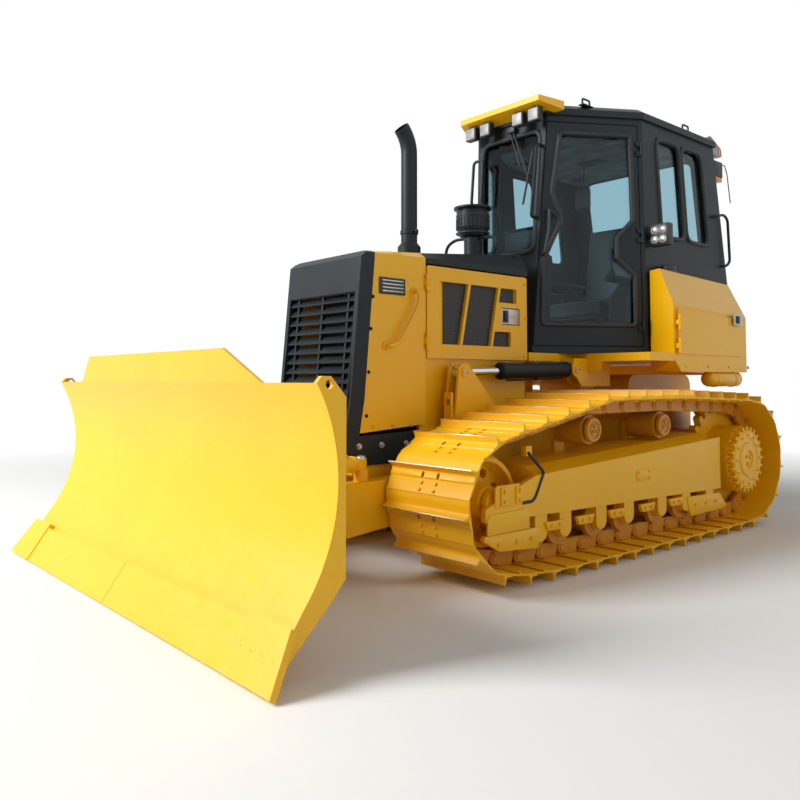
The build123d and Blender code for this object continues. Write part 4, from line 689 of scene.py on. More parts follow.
def link():
    """One link of the chain: its pair of forged sides with their bosses, the bushing and the pin."""
    side = ((-0.026, -0.030), (-0.012, -0.045), (0.030, -0.047), (0.160, -0.047), (0.186, -0.032),
            (0.168, -0.004), (0.150, 0.012), (0.150, 0.040), (0.036, 0.040), (0.024, 0.024), (-0.022, 0.024))
    parts = []
    for s in (-1, 1):
        near = s * 0.080 - 0.018
        parts.append(plate(near, side, 0.036, 0.004, 1))
        parts.append(bevelled(disc((s * 0.101, 0, -0.003), 0.034, 0.014, "X", 20), 0.003, 1))
        parts.append(bevelled(disc((s * 0.107, 0, -0.003), 0.021, 0.018, "X", 16), 0.003, 1))
    parts.append(disc((0, 0, 0), 0.028, 0.13, "X", 16))
    return joined(parts)


class DOZER_OT_tracks(bpy.types.Operator):
    """Both tracks: every shoe with its grouser, holes and bolts, on a chain of forged links"""
    bl_idname = "dozer.tracks"
    bl_label = "Tracks"

    def execute(self, context):
        size = context.scene.dozer_track
        pins = pin_places(size)
        places = []
        for k, here in enumerate(pins):
            along = (pins[(k + 1) % size.links] - here).normalized()
            out = Vector((0, along.z, -along.y))
            turn = Matrix((AXES["X"], along, out)).transposed().to_4x4()
            places.append(Matrix.Translation(here + AXES["X"] * size.gauge / 2) @ turn)
        track = repeated(shoe(size), places)
        # tips of the grousers, rubbed bright: how flat a face lies, and how far off its shoe may be
        flat_by, look = 0.0012, 0.22
        shoes = pair(track, "track_shoes", "track")
        edge = finishes()["grouser_edge"]
        near = [(p.translation, p.to_3x3().col[2]) for p in places]
        for made, side in zip(shoes, SIDES):
            made.data.materials.append(edge)
            for face in made.data.polygons:
                middle = face.center
                flat = Vector((0, middle.y, middle.z))
                if min(abs((flat - Vector((0, at.y, at.z))).dot(out) - SHOE_TOP - size.grouser)
                       for at, out in near if (Vector((0, at.y, at.z)) - flat).length < look) < flat_by:
                    face.material_index = 1
            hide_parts("track_" + side)
        # the links take the deeper enamel, whose darkness is partly painted shade
        chain = repeated(link(), places)
        pair(chain, "track_chain", "chain")
        return {"FINISHED"}


# ---------------------------------------------------------------- undercarriage
class DOZER_OT_undercarriage(bpy.types.Operator):
    """Idlers, roller caps, brackets, guards and bolts of the track frames, covers of the final drives"""
    bl_idname = "dozer.undercarriage"
    bl_label = "Undercarriage"

    def execute(self, context):
        size = context.scene.dozer_track
        middle = size.gauge / 2
        low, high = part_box("idlers")
        idler = Vector((middle, (low.y + high.y) / 2, (low.z + high.z) / 2))
        tread = (high.z - low.z) / 2 - 0.022
        # idler: two treads, a guide rib and a dished web with lightening holes
        half = [(0.055, 0.118), (0.086, 0.118), (0.090, 0.060), (0.104, 0.030), (tread - 0.052, 0.026),
                (tread - 0.030, 0.050), (tread - 0.026, 0.098), (tread - 0.004, 0.101), (tread, 0.094),
                (tread, 0.058), (tread + 0.020, 0.050), (tread + 0.022, 0.040)]
        wheel = turned(half + [(r, -x) for r, x in reversed(half)], idler, "X", 64)
        pierced(wheel, [disc(place, 0.027, 0.2, "X", 20) for place in around(idler, 0.148, divided(8, 0.5))])
        hub = turned([(0, 0.128), (0.03, 0.128), (0.034, 0.122), (0.055, 0.120), (0.055, -0.120),
                      (0.034, -0.122), (0.03, -0.128), (0, -0.128)], idler, "X", 32)
        left, _ = pair(joined([wheel, hub]), "idler", "yellow")
        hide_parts("idlers")
        # caps on the ends of the rollers, with their fixing bolts
        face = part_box("track_frame_left")[1].x
        caps, heads = [], []
        for y in ROLLER_PLACES:
            caps.append(turned([(0, 0.020), (0.022, 0.020), (0.026, 0.012), (0.050, 0.010), (0.060, 0.0),
                                (0.060, -0.004)], (middle + 0.135, y, ROLLER_Z), "X", 28))
            bracket = ((y - 0.060, 0.330), (y - 0.052, 0.250), (y - 0.034, 0.214), (y + 0.034, 0.214),
                       (y + 0.052, 0.250), (y + 0.060, 0.330))
            caps.append(plate(middle + 0.112, bracket, 0.022, 0.004))
            heads += [(middle + 0.134, y - 0.040, 0.262), (middle + 0.134, y + 0.040, 0.262)]
        for y in CARRIER_PLACES:
            caps.append(turned([(0, 0.010), (0.034, 0.010), (0.037, 0.004), (0.050, 0.004), (0.053, 0.012),
                                (0.070, 0.012), (0.075, 0.004), (0.075, -0.010)],
                               (middle + 0.125, y, CARRIER_Z), "X", 32))
            heads += around((middle + 0.135, y, CARRIER_Z), 0.018, divided(3, 0.75))
        caps.append(bolts(heads, "X", 0.009, 0.008))
        # caps and brackets take the rollers' darker enamel, partly painted shade
        pair(joined(caps), "roller_caps", "roller")
        # guards, slide block and bolts on the frame's outer face
        lugs = (-0.773, -0.655)
        scallops = (-0.34, -0.06, 0.255, 0.59, 0.93)
        parts = []
        slide = ((-0.830, 0.404), (-0.830, 0.500), (-0.815, 0.516), (-0.640, 0.516), (-0.640, 0.424),
                 (-0.655, 0.404))
        parts.append(plate(face - 0.004, slide, 0.012, 0.004))
        for y in lugs:
            parts.append(rounded((face, y - 0.024, 0.410), (face + 0.020, y + 0.024, 0.504), 0.005))
        rail = ((-0.888, 0.270), (-0.888, 0.352), (-0.870, 0.372), (-0.590, 0.380), (-0.560, 0.350),
                (-0.560, 0.272))
        parts.append(plate(face - 0.005, rail, 0.012, 0.004))
        guard = ((-0.910, 0.245), (-0.791, 0.179), (-0.488, 0.157), (-0.470, 0.200), (-0.486, 0.268),
                 (-0.900, 0.268))
        parts.append(plate(face - 0.030, guard, 0.030, 0.005))
        guard = ((1.084, 0.276), (1.524, 0.266), (1.590, 0.200), (1.622, 0.167), (1.560, 0.150),
                 (1.132, 0.145), (1.100, 0.190))
        parts.append(plate(face - 0.030, guard, 0.030, 0.005))
        for y in scallops:
            scallop = ((y - 0.085, 0.285), (y - 0.060, 0.236), (y + 0.060, 0.236), (y + 0.085, 0.285))
            parts.append(plate(face - 0.020, scallop, 0.026, 0.004))
        heads = [(face + 0.020, y, z) for y in lugs for z in (0.430, 0.482)]
        heads += [(face + 0.006, y + d, 0.262) for y in scallops for d in (-0.035, 0.035)]
        heads += [(face, y, 0.215) for y in (-0.80, -0.66, -0.54, 1.18, 1.32, 1.46)]
        parts.append(bolts(heads, "X", 0.010, 0.009))
        parts.append(rounded((face - 0.110, -0.494, 0.640), (face - 0.070, -0.443, 0.696), 0.004))
        # cover of the track adjuster, let into the beam's side
        cover = ((0.47, 0.43), (0.47, 0.50), (0.62, 0.50), (0.62, 0.43))
        parts.append(plate(face, cover, 0.006, 0.003))
        parts.append(bolts([(face + 0.006, y, z) for y in (0.485, 0.605) for z in (0.445, 0.485)], "X", 0.007,
                           0.006))
        pair(joined(parts), "track_frame_guards", "yellow")
        # dark rubber strip along the slot between the beam and the sliding yoke of the idler, painted shadow
        # of the gap
        gap_shadow = tube([(face, a, b) for a, b in ((-0.56, 0.668), (-0.431, 0.557), (-0.457, 0.516),
                                               (-0.500, 0.440), (-0.526, 0.411), (-0.612, 0.409))], 0.009,
                    0.02)
        pair(gap_shadow, "track_frame_gap_shadow", "rubber")
        # final drive: ribbed rim, bolts and plugs on the cover
        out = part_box("final_drives")[1].x
        hub = Vector((0, *sprocket(size)[:2]))
        rims = (((0.062, 0), (0.066, 0.012), (0.118, 0.012), (0.126, 0.0)),
                ((0.150, 0), (0.154, 0.006), (0.196, 0.006), (0.204, -0.004)))
        parts = [turned(rim, hub + AXES["X"] * out, "X", 48) for rim in rims]
        rib = rounded((out - 0.040, -0.010, 0.198), (out + 0.003, 0.010, 0.238), 0.003)
        parts.append(spun(rib, hub, "X", 24))
        ring = around(hub + AXES["X"] * (out - 0.040), 0.222, divided(24, 0.5))
        ring += around(hub + AXES["X"] * (out + 0.005), 0.175, divided(12))
        plugs = around(hub + AXES["X"] * out, 0.034, (0.4, 2.5, 4.6))
        parts += [bolts(ring, "X", 0.009, 0.009), bolts(plugs, "X", 0.011, 0.012)]
        pair(joined(parts), "final_drive_cover", "yellow")
        return {"FINISHED"}


# ---------------------------------------------------------------- hood
class DOZER_OT_hood(bpy.types.Operator):
    """Fittings of the nose and the engine's side doors"""
    bl_idname = "dozer.hood"
    bl_label = "Hood"

    def execute(self, context):
        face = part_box("hood")[1].x
        # door: woven wire behind the openings as an opaque sheet with painted shade in its gaps, latch plate
        # in its recess, bolts
        wire = rounded((face - 0.0235, -0.545, 1.262), (face - 0.0215, 0.100, 1.655), 0.0005, 1)
        pair(wire, "door_wire", "wire", "engine_door_")
        sheet = rounded((face - 0.012, -0.030, 1.418), (face - 0.004, 0.136, 1.519), 0.003)
        pair(sheet, "door_latch_plate", "silver", "engine_door_")
        latch = [rounded((face - 0.005, -0.024, 1.428), (face - 0.001, 0.030, 1.509), 0.002),
                 rounded((face - 0.002, -0.010, 1.440), (face + 0.010, 0.014, 1.497), 0.004)]
        pair(joined(latch), "door_latch", "plastic", "engine_door_")
        heads = bolts([(face - 0.001, y, z) for y, z in ((0.192, 1.689), (0.197, 1.469), (0.180, 1.215))],
                      "X", 0.010, 0.008)
        pair(heads, "door_bolts", "yellow", "engine_door_")
        # louvre plate in the nose
        sheet = rounded((face + 0.001, -1.063, 1.540), (face + 0.008, -0.870, 1.635), 0.014, 3)
        pair(sheet, "nose_louvre_plate", "plastic")
        bar = rounded((face + 0.006, -1.045, 0), (face + 0.013, -0.888, 0.009), 0.003)
        pair(repeated(bar, [(0, 0, 1.553 + 0.020 * k) for k in range(4)]), "nose_louvres", "silver")
        # grab handle on the nose, with its feet
        rail = tube([(face, -0.806, 1.571), (face + 0.045, -0.806, 1.571), (face + 0.045, -0.790, 1.535),
                     (face + 0.045, -0.817, 1.459), (face + 0.045, -0.908, 1.322),
                     (face + 0.045, -0.939, 1.270), (face + 0.045, -1.010, 1.243), (face, -1.018, 1.248)],
                    0.012, 0.035)
        feet = [turned([(0, 0.010), (0.018, 0.010), (0.024, 0.0), (0.024, -0.002)], (face, y, z), "X", 20)
                for y, z in ((-0.806, 1.571), (-1.018, 1.248))]
        pair(joined([rail] + feet), "nose_handle", "yellow")
        # rows of bolts on the black front and on the nose's lower edge
        places = [(face + 0.001, -1.150 + 0.045 * k / 3, z) for k, z in enumerate((0.86, 1.10, 1.34, 1.52))]
        pair(bolts(places, "X", 0.008, 0.006), "front_bolts", "dark")
        places = [(face + 0.001, y, 0.800) for y in (-1.10, -0.96, -0.82)]
        pair(bolts(places, "X", 0.009, 0.007), "nose_bolts", "yellow")
        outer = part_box("front_guard")[1].x
        heads = bolts([(outer, y, 0.696) for y in (-1.041, -0.86, -1.20)], "X", 0.013, 0.011)
        pair(heads, "guard_bolts", "silver")
        # frame of the grille: a raised rim and its corner bolts
        y_low, y_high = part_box("grille")[0].y - 0.004, -1.190
        rim = tube([(-0.328, y_low, 0.812), (0.328, y_low, 0.812), (0.328, y_high, 1.545),
                    (-0.328, y_high, 1.545)], 0.007, 0.02, closed=True)
        piece(rim, "grille_rim", "dark")
        # bolts on the hood's top
        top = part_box("hood")[1].z
        heads = bolts([(x, 0.15, top - 0.018) for x in (-0.31, 0.31)], "Z", 0.010, 0.008)
        piece(heads, "hood_bolts", "dark")
        return {"FINISHED"}


# ---------------------------------------------------------------- exhaust and air cleaner
class DOZER_OT_stacks(bpy.types.Operator):
    """Fittings of the exhaust stack and the air pre-cleaner"""
    bl_idname = "dozer.stacks"
    bl_label = "Stacks"

    def execute(self, context):
        low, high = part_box("exhaust")
        foot = Vector(((low.x + high.x) / 2, high.y - 0.074, 0))
        foot_bolts = [(foot.x + 0.061 * math.cos(t), foot.y + 0.061 * math.sin(t), 1.868)
                      for t in divided(6, 0.5)]
        band = [(0.050, 0.0), (0.058, 0.004), (0.058, 0.026), (0.050, 0.030)]
        parts = [
            turned(band, foot + AXES["Z"] * 1.985, "Z", 32),
            rounded((foot.x + 0.050, foot.y - 0.012, 1.988), (foot.x + 0.078, foot.y + 0.012, 2.012), 0.003),
            bolts([(foot.x + 0.066, foot.y - 0.012, 2.0)], "Y", 0.007, 0.020),
            bolts(foot_bolts, "Z", 0.008, 0.009)]
        piece(joined(parts), "exhaust_clamp", "dark")
        # pre-cleaner: rings of its bowl, vanes under its cap, wing nut
        low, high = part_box("pre_cleaner")
        middle = Vector(((low.x + high.x) / 2, (low.y + high.y) / 2, 0))
        parts = []
        for z, radius in ((2.060, 0.114), (2.180, 0.114)):
            parts.append(turned([(radius - 0.004, 0.0), (radius + 0.003, 0.003), (radius + 0.003, 0.010),
                                 (radius - 0.004, 0.013)], middle + AXES["Z"] * z, "Z", 40))
        vane = rounded((-0.002, 0.100, 2.092), (0.002, 0.117, 2.168), 0.0008, 1)
        parts.append(spun(vane, middle, "Z", 28))
        parts.append(turned([(0, 0.016), (0.010, 0.014), (0.014, 0.0), (0.014, -0.006)],
                            middle + AXES["Z"] * high.z, "Z", 16))
        piece(joined(parts), "pre_cleaner_rings", "plastic")
        # bent guard tube round the pre-cleaner's foot
        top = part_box("hood")[1].z
        hoop = tube([(-0.270, 0.07, top - 0.012), (-0.262, 0.07, 2.005), (-0.175, 0.07, 2.047),
                     (0.196, 0.07, 2.022), (0.226, 0.07, 1.985), (0.180, 0.07, top - 0.012)], 0.011, 0.05)
        piece(hoop, "cleaner_hoop", "dark")
        return {"FINISHED"}


# ---------------------------------------------------------------- cab
# radius of a seal, how far it stands off its pane, how wide its corners bend, and the smallest pane's area
SEAL, SEAL_LIFT, SEAL_BEND, LEAST_PANE = 0.018, 0.016, 0.085, 0.05


def panes(node, outward):
    """Outer faces of a glass node, as loose outlines."""
    made = copied(NODES[node], (0, 0, 0))
    made.parent = None
    for mark in [key for key in made.keys() if key.startswith("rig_")]:
        del made[mark]
    edited(made, (bpy.ops.mesh.remove_doubles, {"threshold": WELD}),
           (bpy.ops.mesh.dissolve_limited, {"angle_limit": math.radians(3)}))
    middle = Vector(outward)
    for kind in (made.data.vertices, made.data.edges):
        for part in kind:
            part.select = False
    only(made)
    bpy.ops.object.mode_set(mode="EDIT")
    bpy.ops.mesh.select_mode(type="FACE")
    bpy.ops.object.mode_set(mode="OBJECT")
    for face in made.data.polygons:
        face.select = face.area < LEAST_PANE or (face.center - middle).dot(face.normal) < 0
    bpy.ops.object.mode_set(mode="EDIT")
    bpy.ops.mesh.delete(type="FACE")
    bpy.ops.mesh.select_mode(type="VERT")
    bpy.ops.object.mode_set(mode="OBJECT")
    return made


def seals(node, outward):
    """Rubber seal round the outer face of every pane of a glass node."""
    made = panes(node, outward)
    parts = []
    for face in made.data.polygons:
        line = [made.data.vertices[at].co + face.normal * SEAL_LIFT for at in face.vertices]
        parts.append(tube(line, SEAL, SEAL_BEND, closed=True))
    bpy.data.objects.remove(made)
    return joined(parts)


def along(made, start, end):
    """Turns a piece built upwards from the origin so that it runs from one point towards another."""
    turn = (Vector(end) - Vector(start)).to_track_quat("Z", "Y").to_matrix().to_4x4()
    made.data.transform(Matrix.Translation(start) @ turn)
    return made


# the cab's front: its foot and how far it leans back over its height
CAB_FOOT_Z, CAB_HEIGHT = 1.240, 1.675
FRONT_Y, FRONT_LEAN = 0.373, 0.109


def door_point(along_door, height, out=0.0):
    """A point on the left door's outer face, by its way along the door from the cab's front corner."""
    share = (height - CAB_FOOT_Z) / CAB_HEIGHT
    run = Vector((0.375, 0.598, 0)).normalized()
    corner_at = Vector((0.263 + 0.064 * share, FRONT_Y + FRONT_LEAN * share, height))
    return corner_at + run * along_door + Vector((run.y, -run.x, 0)) * out


def front_point(x, height, out=0.0):
    """A point on the cab's front face."""
    return Vector((x, FRONT_Y + FRONT_LEAN * (height - CAB_FOOT_Z) / CAB_HEIGHT - out, height))


class DOZER_OT_cab(bpy.types.Operator):
    """Seals, handles, wipers, lamps and roof fittings of the cab"""
    bl_idname = "dozer.cab"
    bl_label = "Cab"

    def execute(self, context):
        middle = (0, 1.3, 2.3)
        piece(seals("cab_glass", middle), "window_seals", "rubber")
        for side in SIDES:
            made = seals("door_glass_" + side, middle)
            piece(made, "door_seal_" + side, "rubber", "cab_door_" + side)
        # door: handle and latch
        grip = tube([door_point(0.045, 2.235), door_point(0.045, 2.235, 0.045),
                     door_point(0.050, 2.10, 0.052), door_point(0.030, 1.93, 0.045), door_point(0.030, 1.93)],
                    0.011, 0.03)
        latch = [tube([door_point(0.075, 2.215, 0.004), door_point(0.075, 2.215, 0.03),
                       door_point(0.105, 2.190, 0.034)], 0.009, 0.012),
                 turned([(0, 0.014), (0.020, 0.012), (0.026, 0.0), (0.026, -0.004)], (0, 0, 0), "Z", 20)]
        along(latch[1], door_point(0.075, 2.215, 0.0), door_point(0.075, 2.215, 1.0))
        pair(joined([grip] + latch), "cab_door_handle", "plastic", "cab_door_")
        # near and far handrails of the front posts
        rail = tube([front_point(0.292, 2.700), front_point(0.292, 2.700, 0.055),
                     front_point(0.262, 2.190, 0.055), front_point(0.262, 2.190)], 0.012, 0.03)
        piece(rail, "front_rail_left", "dark")
        rail = tube([front_point(-0.262, 2.350), front_point(-0.300, 2.360, 0.075),
                     front_point(-0.292, 2.690, 0.075), front_point(-0.215, 2.690, 0.060),
                     front_point(-0.215, 2.380, 0.060), front_point(-0.205, 2.350)], 0.011, 0.03)
        piece(rail, "front_rail_right", "dark")
        # wipers: two parallel arms and a blade
        parts = [tube([front_point(0.009, 2.870, 0.004), front_point(0.012, 2.862, 0.028),
                       front_point(0.119, 2.582, 0.028)], 0.005, 0.01),
                 tube([front_point(0.036, 2.870, 0.004), front_point(0.040, 2.858, 0.024),
                       front_point(0.200, 2.480, 0.024)], 0.006, 0.01),
                 tube([front_point(0.226, 2.672, 0.016), front_point(0.182, 2.462, 0.016),
                       front_point(0.150, 2.300, 0.016)], 0.008, 0.01),
                 rounded((-0.010, 0.437, 2.848), (0.062, 0.475, 2.892), 0.006)]
        piece(joined(parts), "wiper", "plastic")
        # four lamps under the visor
        bodies, lenses = [], []
        for x in (-0.299, -0.155, 0.155, 0.299):
            bodies.append(rounded((x - 0.050, 0.362, 2.850), (x + 0.050, 0.415, 2.948), 0.008))
            bodies.append(rounded((x - 0.014, 0.385, 2.930), (x + 0.014, 0.402, 2.964), 0.003))
            lenses.append(rounded((x - 0.042, 0.357, 2.858), (x + 0.042, 0.368, 2.940), 0.006))
        made = piece(joined(bodies), "front_lamps", "plastic")
        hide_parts("work_lamps")
        # the lenses are plain white, a painted reflection of the silver reflectors behind them
        piece(joined(lenses), "front_lamp_lenses", "white")
        # square lamp on each door post
        lamp = [rounded((0.722, 1.118, 2.000), (0.876, 1.180, 2.158), 0.010),
                rounded((0.700, 1.135, 2.060), (0.735, 1.165, 2.100), 0.004)]
        pair(joined(lamp), "post_lamp", "plastic")
        lens = rounded((0.732, 1.112, 2.010), (0.866, 1.122, 2.148), 0.006)
        pair(lens, "post_lamp_lens", "plastic")
        bulbs = [turned([(0, -0.006), (0.014, -0.004), (0.022, 0.0), (0.026, -0.003), (0.030, 0.0),
                         (0.030, 0.004)], (0.799 + dx, 1.112, 2.079 + dz), "Y", 24) for dx in (-0.031, 0.031)
                 for dz in (-0.034, 0.034)]
        pair(joined(bulbs), "post_lamp_bulbs", "silver")
        # lifting eyes on the roof
        eyes = []
        for x, y in ((0.466, 0.746), (0.640, 1.800), (-0.466, 0.746), (-0.640, 1.800)):
            eyes.append(tube([(x, y - 0.042, 2.996), (x, y - 0.042, 3.044), (x, y + 0.042, 3.044),
                              (x, y + 0.042, 2.996)], 0.007, 0.012))
            eyes.append(rounded((x - 0.022, y - 0.060, 2.994), (x + 0.022, y + 0.060, 3.003), 0.003))
        piece(joined(eyes), "roof_eyes", "dark")
        # rear lamps with their covers and trim, handrails, antenna
        wedge = ((2.060, 3.000), (2.085, 3.004), (2.250, 2.930), (2.262, 2.865), (2.140, 2.868))
        pair(plate(0.640, wedge, 0.050, 0.008), "rear_lamp_cover", "white")
        trim = tube([(0.694, 2.066, 2.998), (0.694, 2.090, 3.002), (0.694, 2.252, 2.930),
                     (0.694, 2.264, 2.870)], 0.006, 0.01)
        pair(trim, "rear_lamp_trim", "amber")
        lamp = rounded((0.640, 2.150, 2.700), (0.694, 2.290, 2.830), 0.010)
        pair(lamp, "rear_lamp_box", "plastic")
        lens = rounded((0.646, 2.160, 2.664), (0.690, 2.282, 2.702), 0.006)
        pair(lens, "rear_lamp_lens", "amber")
        rail = tube([(0.700, 2.058, 2.349), (0.742, 2.080, 2.352), (0.742, 2.185, 2.378),
                     (0.742, 2.251, 2.347), (0.742, 2.275, 2.008), (0.742, 2.215, 1.968),
                     (0.700, 2.200, 1.968)], 0.011, 0.03)
        pair(rail, "rear_rail", "dark")
        whip = tube([(0.660, 2.268, 2.790), (0.700, 2.300, 2.815), (0.700, 2.345, 2.745),
                     (0.700, 2.392, 2.510)], 0.004, 0.02)
        piece(whip, "antenna", "rubber")
        return {"FINISHED"}


# ---------------------------------------------------------------- inside the cab
def cushion(low, high, crown, lean=0.0):
    """A crowned pad: a block subdivided, drawn in at its corners and smoothed."""
    made = rounded(low, high, 0.022, 2)
    middle = [(a + b) / 2 for a, b in zip(low, high)]
    edited(made, (bpy.ops.mesh.subdivide, {"number_cuts": 3}))
    half = [(b - a) / 2 for a, b in zip(low, high)]
    for point in made.data.vertices:
        share = [(c - m) / h for c, m, h in zip(point.co, middle, half)]
        thin = min(range(3), key=lambda k: half[k])
        others = [share[k] for k in range(3) if k != thin]
        if abs(share[thin]) > 0.5:
            swell = max(0.0, 1 - others[0] ** 2) * max(0.0, 1 - others[1] ** 2)
            point.co[thin] += math.copysign(crown, share[thin]) * swell
        for k in range(3):
            if k != thin:
                pull = 1 - 0.05 * (1 - abs(share[thin])) * (1 - share[3 - k - thin] ** 2)
                point.co[k] = middle[k] + (point.co[k] - middle[k]) * pull
    made.data.transform(Matrix.Translation(middle) @ Matrix.Rotation(lean, 4, "X")
                        @ Matrix.Translation([-m for m in middle]))
    only(made)
    smooth = made.modifiers.new("Smooth", "SUBSURF")
    smooth.levels = smooth.render_levels = 1
    bpy.ops.object.modifier_apply(modifier=smooth.name)
    return made


class DOZER_OT_interior(bpy.types.Operator):
    """Seat, controls and lining inside the cab"""
    bl_idname = "dozer.interior"
    bl_label = "Interior"

    def execute(self, context):
        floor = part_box("seat")[0].z
        # crowned cushions and their piping
        base = piece(cushion((-0.250, 1.200, floor + 0.310), (0.250, 1.700, floor + 0.425), 0.016),
                     "seat_cushion", "vinyl")
        back = piece(cushion((-0.235, 1.715, floor + 0.445), (0.235, 1.820, floor + 1.080), 0.018, -0.15),
                     "seat_back", "vinyl")
        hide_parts("seat")
        piping = tube([(-0.246, 1.206, floor + 0.370), (0.246, 1.206, floor + 0.370),
                       (0.246, 1.694, floor + 0.370), (-0.246, 1.694, floor + 0.370)], 0.005, 0.05,
                      closed=True)
        piece(piping, "seat_piping", "rubber")
        # suspension with its bellows, arm rests, control levers
        folds = []
        for k in range(5):
            z = floor + 0.030 + 0.050 * k
            folds.append(rounded((-0.190, 1.270, z), (0.190, 1.640, z + 0.046), 0.018, 2))
        folds.append(rounded((-0.225, 1.230, floor), (0.225, 1.690, floor + 0.030), 0.006))
        folds.append(rounded((-0.235, 1.220, floor + 0.282), (0.235, 1.700, floor + 0.312), 0.008))
        piece(joined(folds), "seat_suspension", "rubber")
        rest = [rounded((0.258, 1.235, floor + 0.565), (0.328, 1.740, floor + 0.622), 0.020, 3),
                rounded((0.272, 1.440, floor + 0.010), (0.314, 1.660, floor + 0.566), 0.012, 2)]
        pair(joined(rest), "arm_rest", "plastic")
        lever = turned([(0.030, 0.0), (0.026, 0.020), (0.018, 0.036), (0.009, 0.044), (0.008, 0.120),
                        (0.017, 0.130), (0.021, 0.165), (0.017, 0.200), (0.0, 0.208)],
                       (0.293, 1.290, floor + 0.620), "Z", 20)
        pair(lever, "control_lever", "rubber")
        # monitor on the front console, and its hood
        low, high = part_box("console")
        screen = [rounded((-0.150, low.y + 0.10, high.z - 0.016), (0.150, low.y + 0.145, high.z + 0.150),
                          0.012, 3)]
        screen.append(rounded((-0.160, low.y + 0.085, high.z + 0.140), (0.160, low.y + 0.175, high.z + 0.156),
                              0.006))
        piece(joined(screen), "monitor", "plastic")
        glass = rounded((-0.126, low.y + 0.143, high.z + 0.008), (0.126, low.y + 0.148, high.z + 0.126),
                        0.003)
        piece(glass, "monitor_face", "silver")
        # side consoles
        box = ((1.000, floor + 0.010), (1.980, floor + 0.010), (1.980, floor + 0.560), (1.180, floor + 0.560),
               (1.040, floor + 0.420))
        pair(plate(0.430, box, 0.180, 0.025, 3), "side_console", "plastic")
        # lining under the roof with its loudspeakers and air outlet
        rim = ((0.400, 0.800), (0.560, 1.100), (0.560, 2.050))
        lining = pushed([(x, y, 2.828) for x, y in rim] + [(-x, y, 2.828) for x, y in reversed(rim)],
                        (0, 0, 0.022))
        piece(bevelled(lining, 0.008), "roof_lining", "cream")
        parts = [turned([(0, -0.010), (0.060, -0.008), (0.072, -0.002), (0.076, 0.004)], (s * 0.42, y, 2.826),
                        "Z", 32) for s in (-1, 1) for y in (1.10, 1.86)]
        slat = rounded((-0.10, 1.420, 2.818), (0.10, 1.432, 2.832), 0.002)
        parts.append(repeated(slat, [(0, 0.030 * k, 0) for k in range(5)]))
        piece(joined(parts), "roof_outlets", "plastic")
        # mirror under the lining, on its stalk
        mirror = [tube([(0.05, 1.30, 2.826), (0.04, 1.30, 2.62), (0.02, 1.32, 2.575)], 0.006, 0.03),
                  rounded((-0.050, 1.305, 2.420), (0.090, 1.330, 2.575), 0.018, 3)]
        piece(joined(mirror), "inside_mirror", "plastic")
        return {"FINISHED"}


# ---------------------------------------------------------------- tanks and platform
class DOZER_OT_tanks(bpy.types.Operator):
    """Fittings of the side tanks, the platform and the machine's rear"""
    bl_idname = "dozer.tanks"
    bl_label = "Tanks and rear"

    def execute(self, context):
        # outer face of the doors
        face = 0.984
        recess = rounded((face - 0.002, 1.815, 1.462), (face + 0.006, 1.950, 1.546), 0.005)
        pair(recess, "tank_latch_plate", "silver", "tank_door_")
        parts = [rounded((face + 0.004, 1.835, 1.475), (face + 0.008, 1.905, 1.533), 0.003),
                 rounded((face + 0.006, 1.860, 1.482), (face + 0.014, 1.882, 1.526), 0.004)]
        pair(joined(parts), "tank_latch", "plastic", "tank_door_")
        # filler caps
        cap = turned([(0, 0.050), (0.040, 0.048), (0.052, 0.040), (0.054, 0.012), (0.062, 0.006),
                      (0.064, -0.010)], (0.760, 1.30, 1.835), "Z", 32)
        pair(cap, "tank_cap", "plastic")
        # air reservoir between tank and track, with its bands
        middle = Vector((0.905, 1.778, 1.066))
        shell = turned([(0, -0.238), (0.030, -0.234), (0.048, -0.222), (0.056, -0.205), (0.056, 0.205),
                        (0.048, 0.222), (0.030, 0.234), (0, 0.238)], middle, "Y", 36)
        bands = [turned([(0.055, -0.012), (0.060, -0.010), (0.060, 0.010), (0.055, 0.012)],
                        middle + AXES["Y"] * y, "Y", 36) for y in (-0.13, 0.13)]
        pair(joined([shell] + bands), "air_reservoir", "yellow")
        # bolts on the tanks' feet
        heads = bolts([(0.9945, y, 1.150) for y in (1.10, 1.40, 1.70, 2.00)], "X", 0.010, 0.008)
        pair(heads, "tank_bolts", "yellow")
        # rear: lamps, bolts and the drawbar's pin
        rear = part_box("rear_tank")[1].y
        lamp = rounded((0.420, rear - 0.012, 1.350), (0.540, rear + 0.018, 1.440), 0.008)
        pair(lamp, "tail_lamp_box", "plastic")
        lens = rounded((0.428, rear + 0.014, 1.358), (0.532, rear + 0.026, 1.432), 0.006)
        pair(lens, "tail_lamp_lens", "red")
        heads = bolts([(s * x, rear, z) for s in (-1, 1) for x in (0.10, 0.32, 0.53) for z in (1.130, 1.465)],
                      "Y", 0.010, 0.006)
        piece(heads, "rear_bolts", "yellow")
        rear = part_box("main_frame")[1].y
        pin = [turned([(0, 0.100), (0.026, 0.098), (0.030, 0.090), (0.030, -0.085), (0.020, -0.100),
                       (0, -0.102)], (0, rear - 0.075, 0.425), "Z", 28),
               tube([(0, rear - 0.095, 0.520), (0, rear - 0.110, 0.565), (0, rear - 0.040, 0.565),
                     (0, rear - 0.055, 0.520)], 0.007, 0.02)]
        piece(joined(pin), "drawbar_pin", "silver")
        return {"FINISHED"}


# ---------------------------------------------------------------- cylinders and blade
# name, whether there is one on each side, base pin, eye, barrel's radius and length, finish
CYLINDERS = (
    ("lift", 1, (0.420, 0.604, 1.131), (0.420, -0.492, 1.105), 0.050, 0.744, "dark"),
    ("angle", 1, (0.410, -1.230, 0.612), (0.560, -2.026, 0.612), 0.040, 0.530, "yellow"),
    ("tilt", 0, (-0.260, -2.040, 0.660), (0.260, -2.040, 0.660), 0.038, 0.330, "yellow"),
)


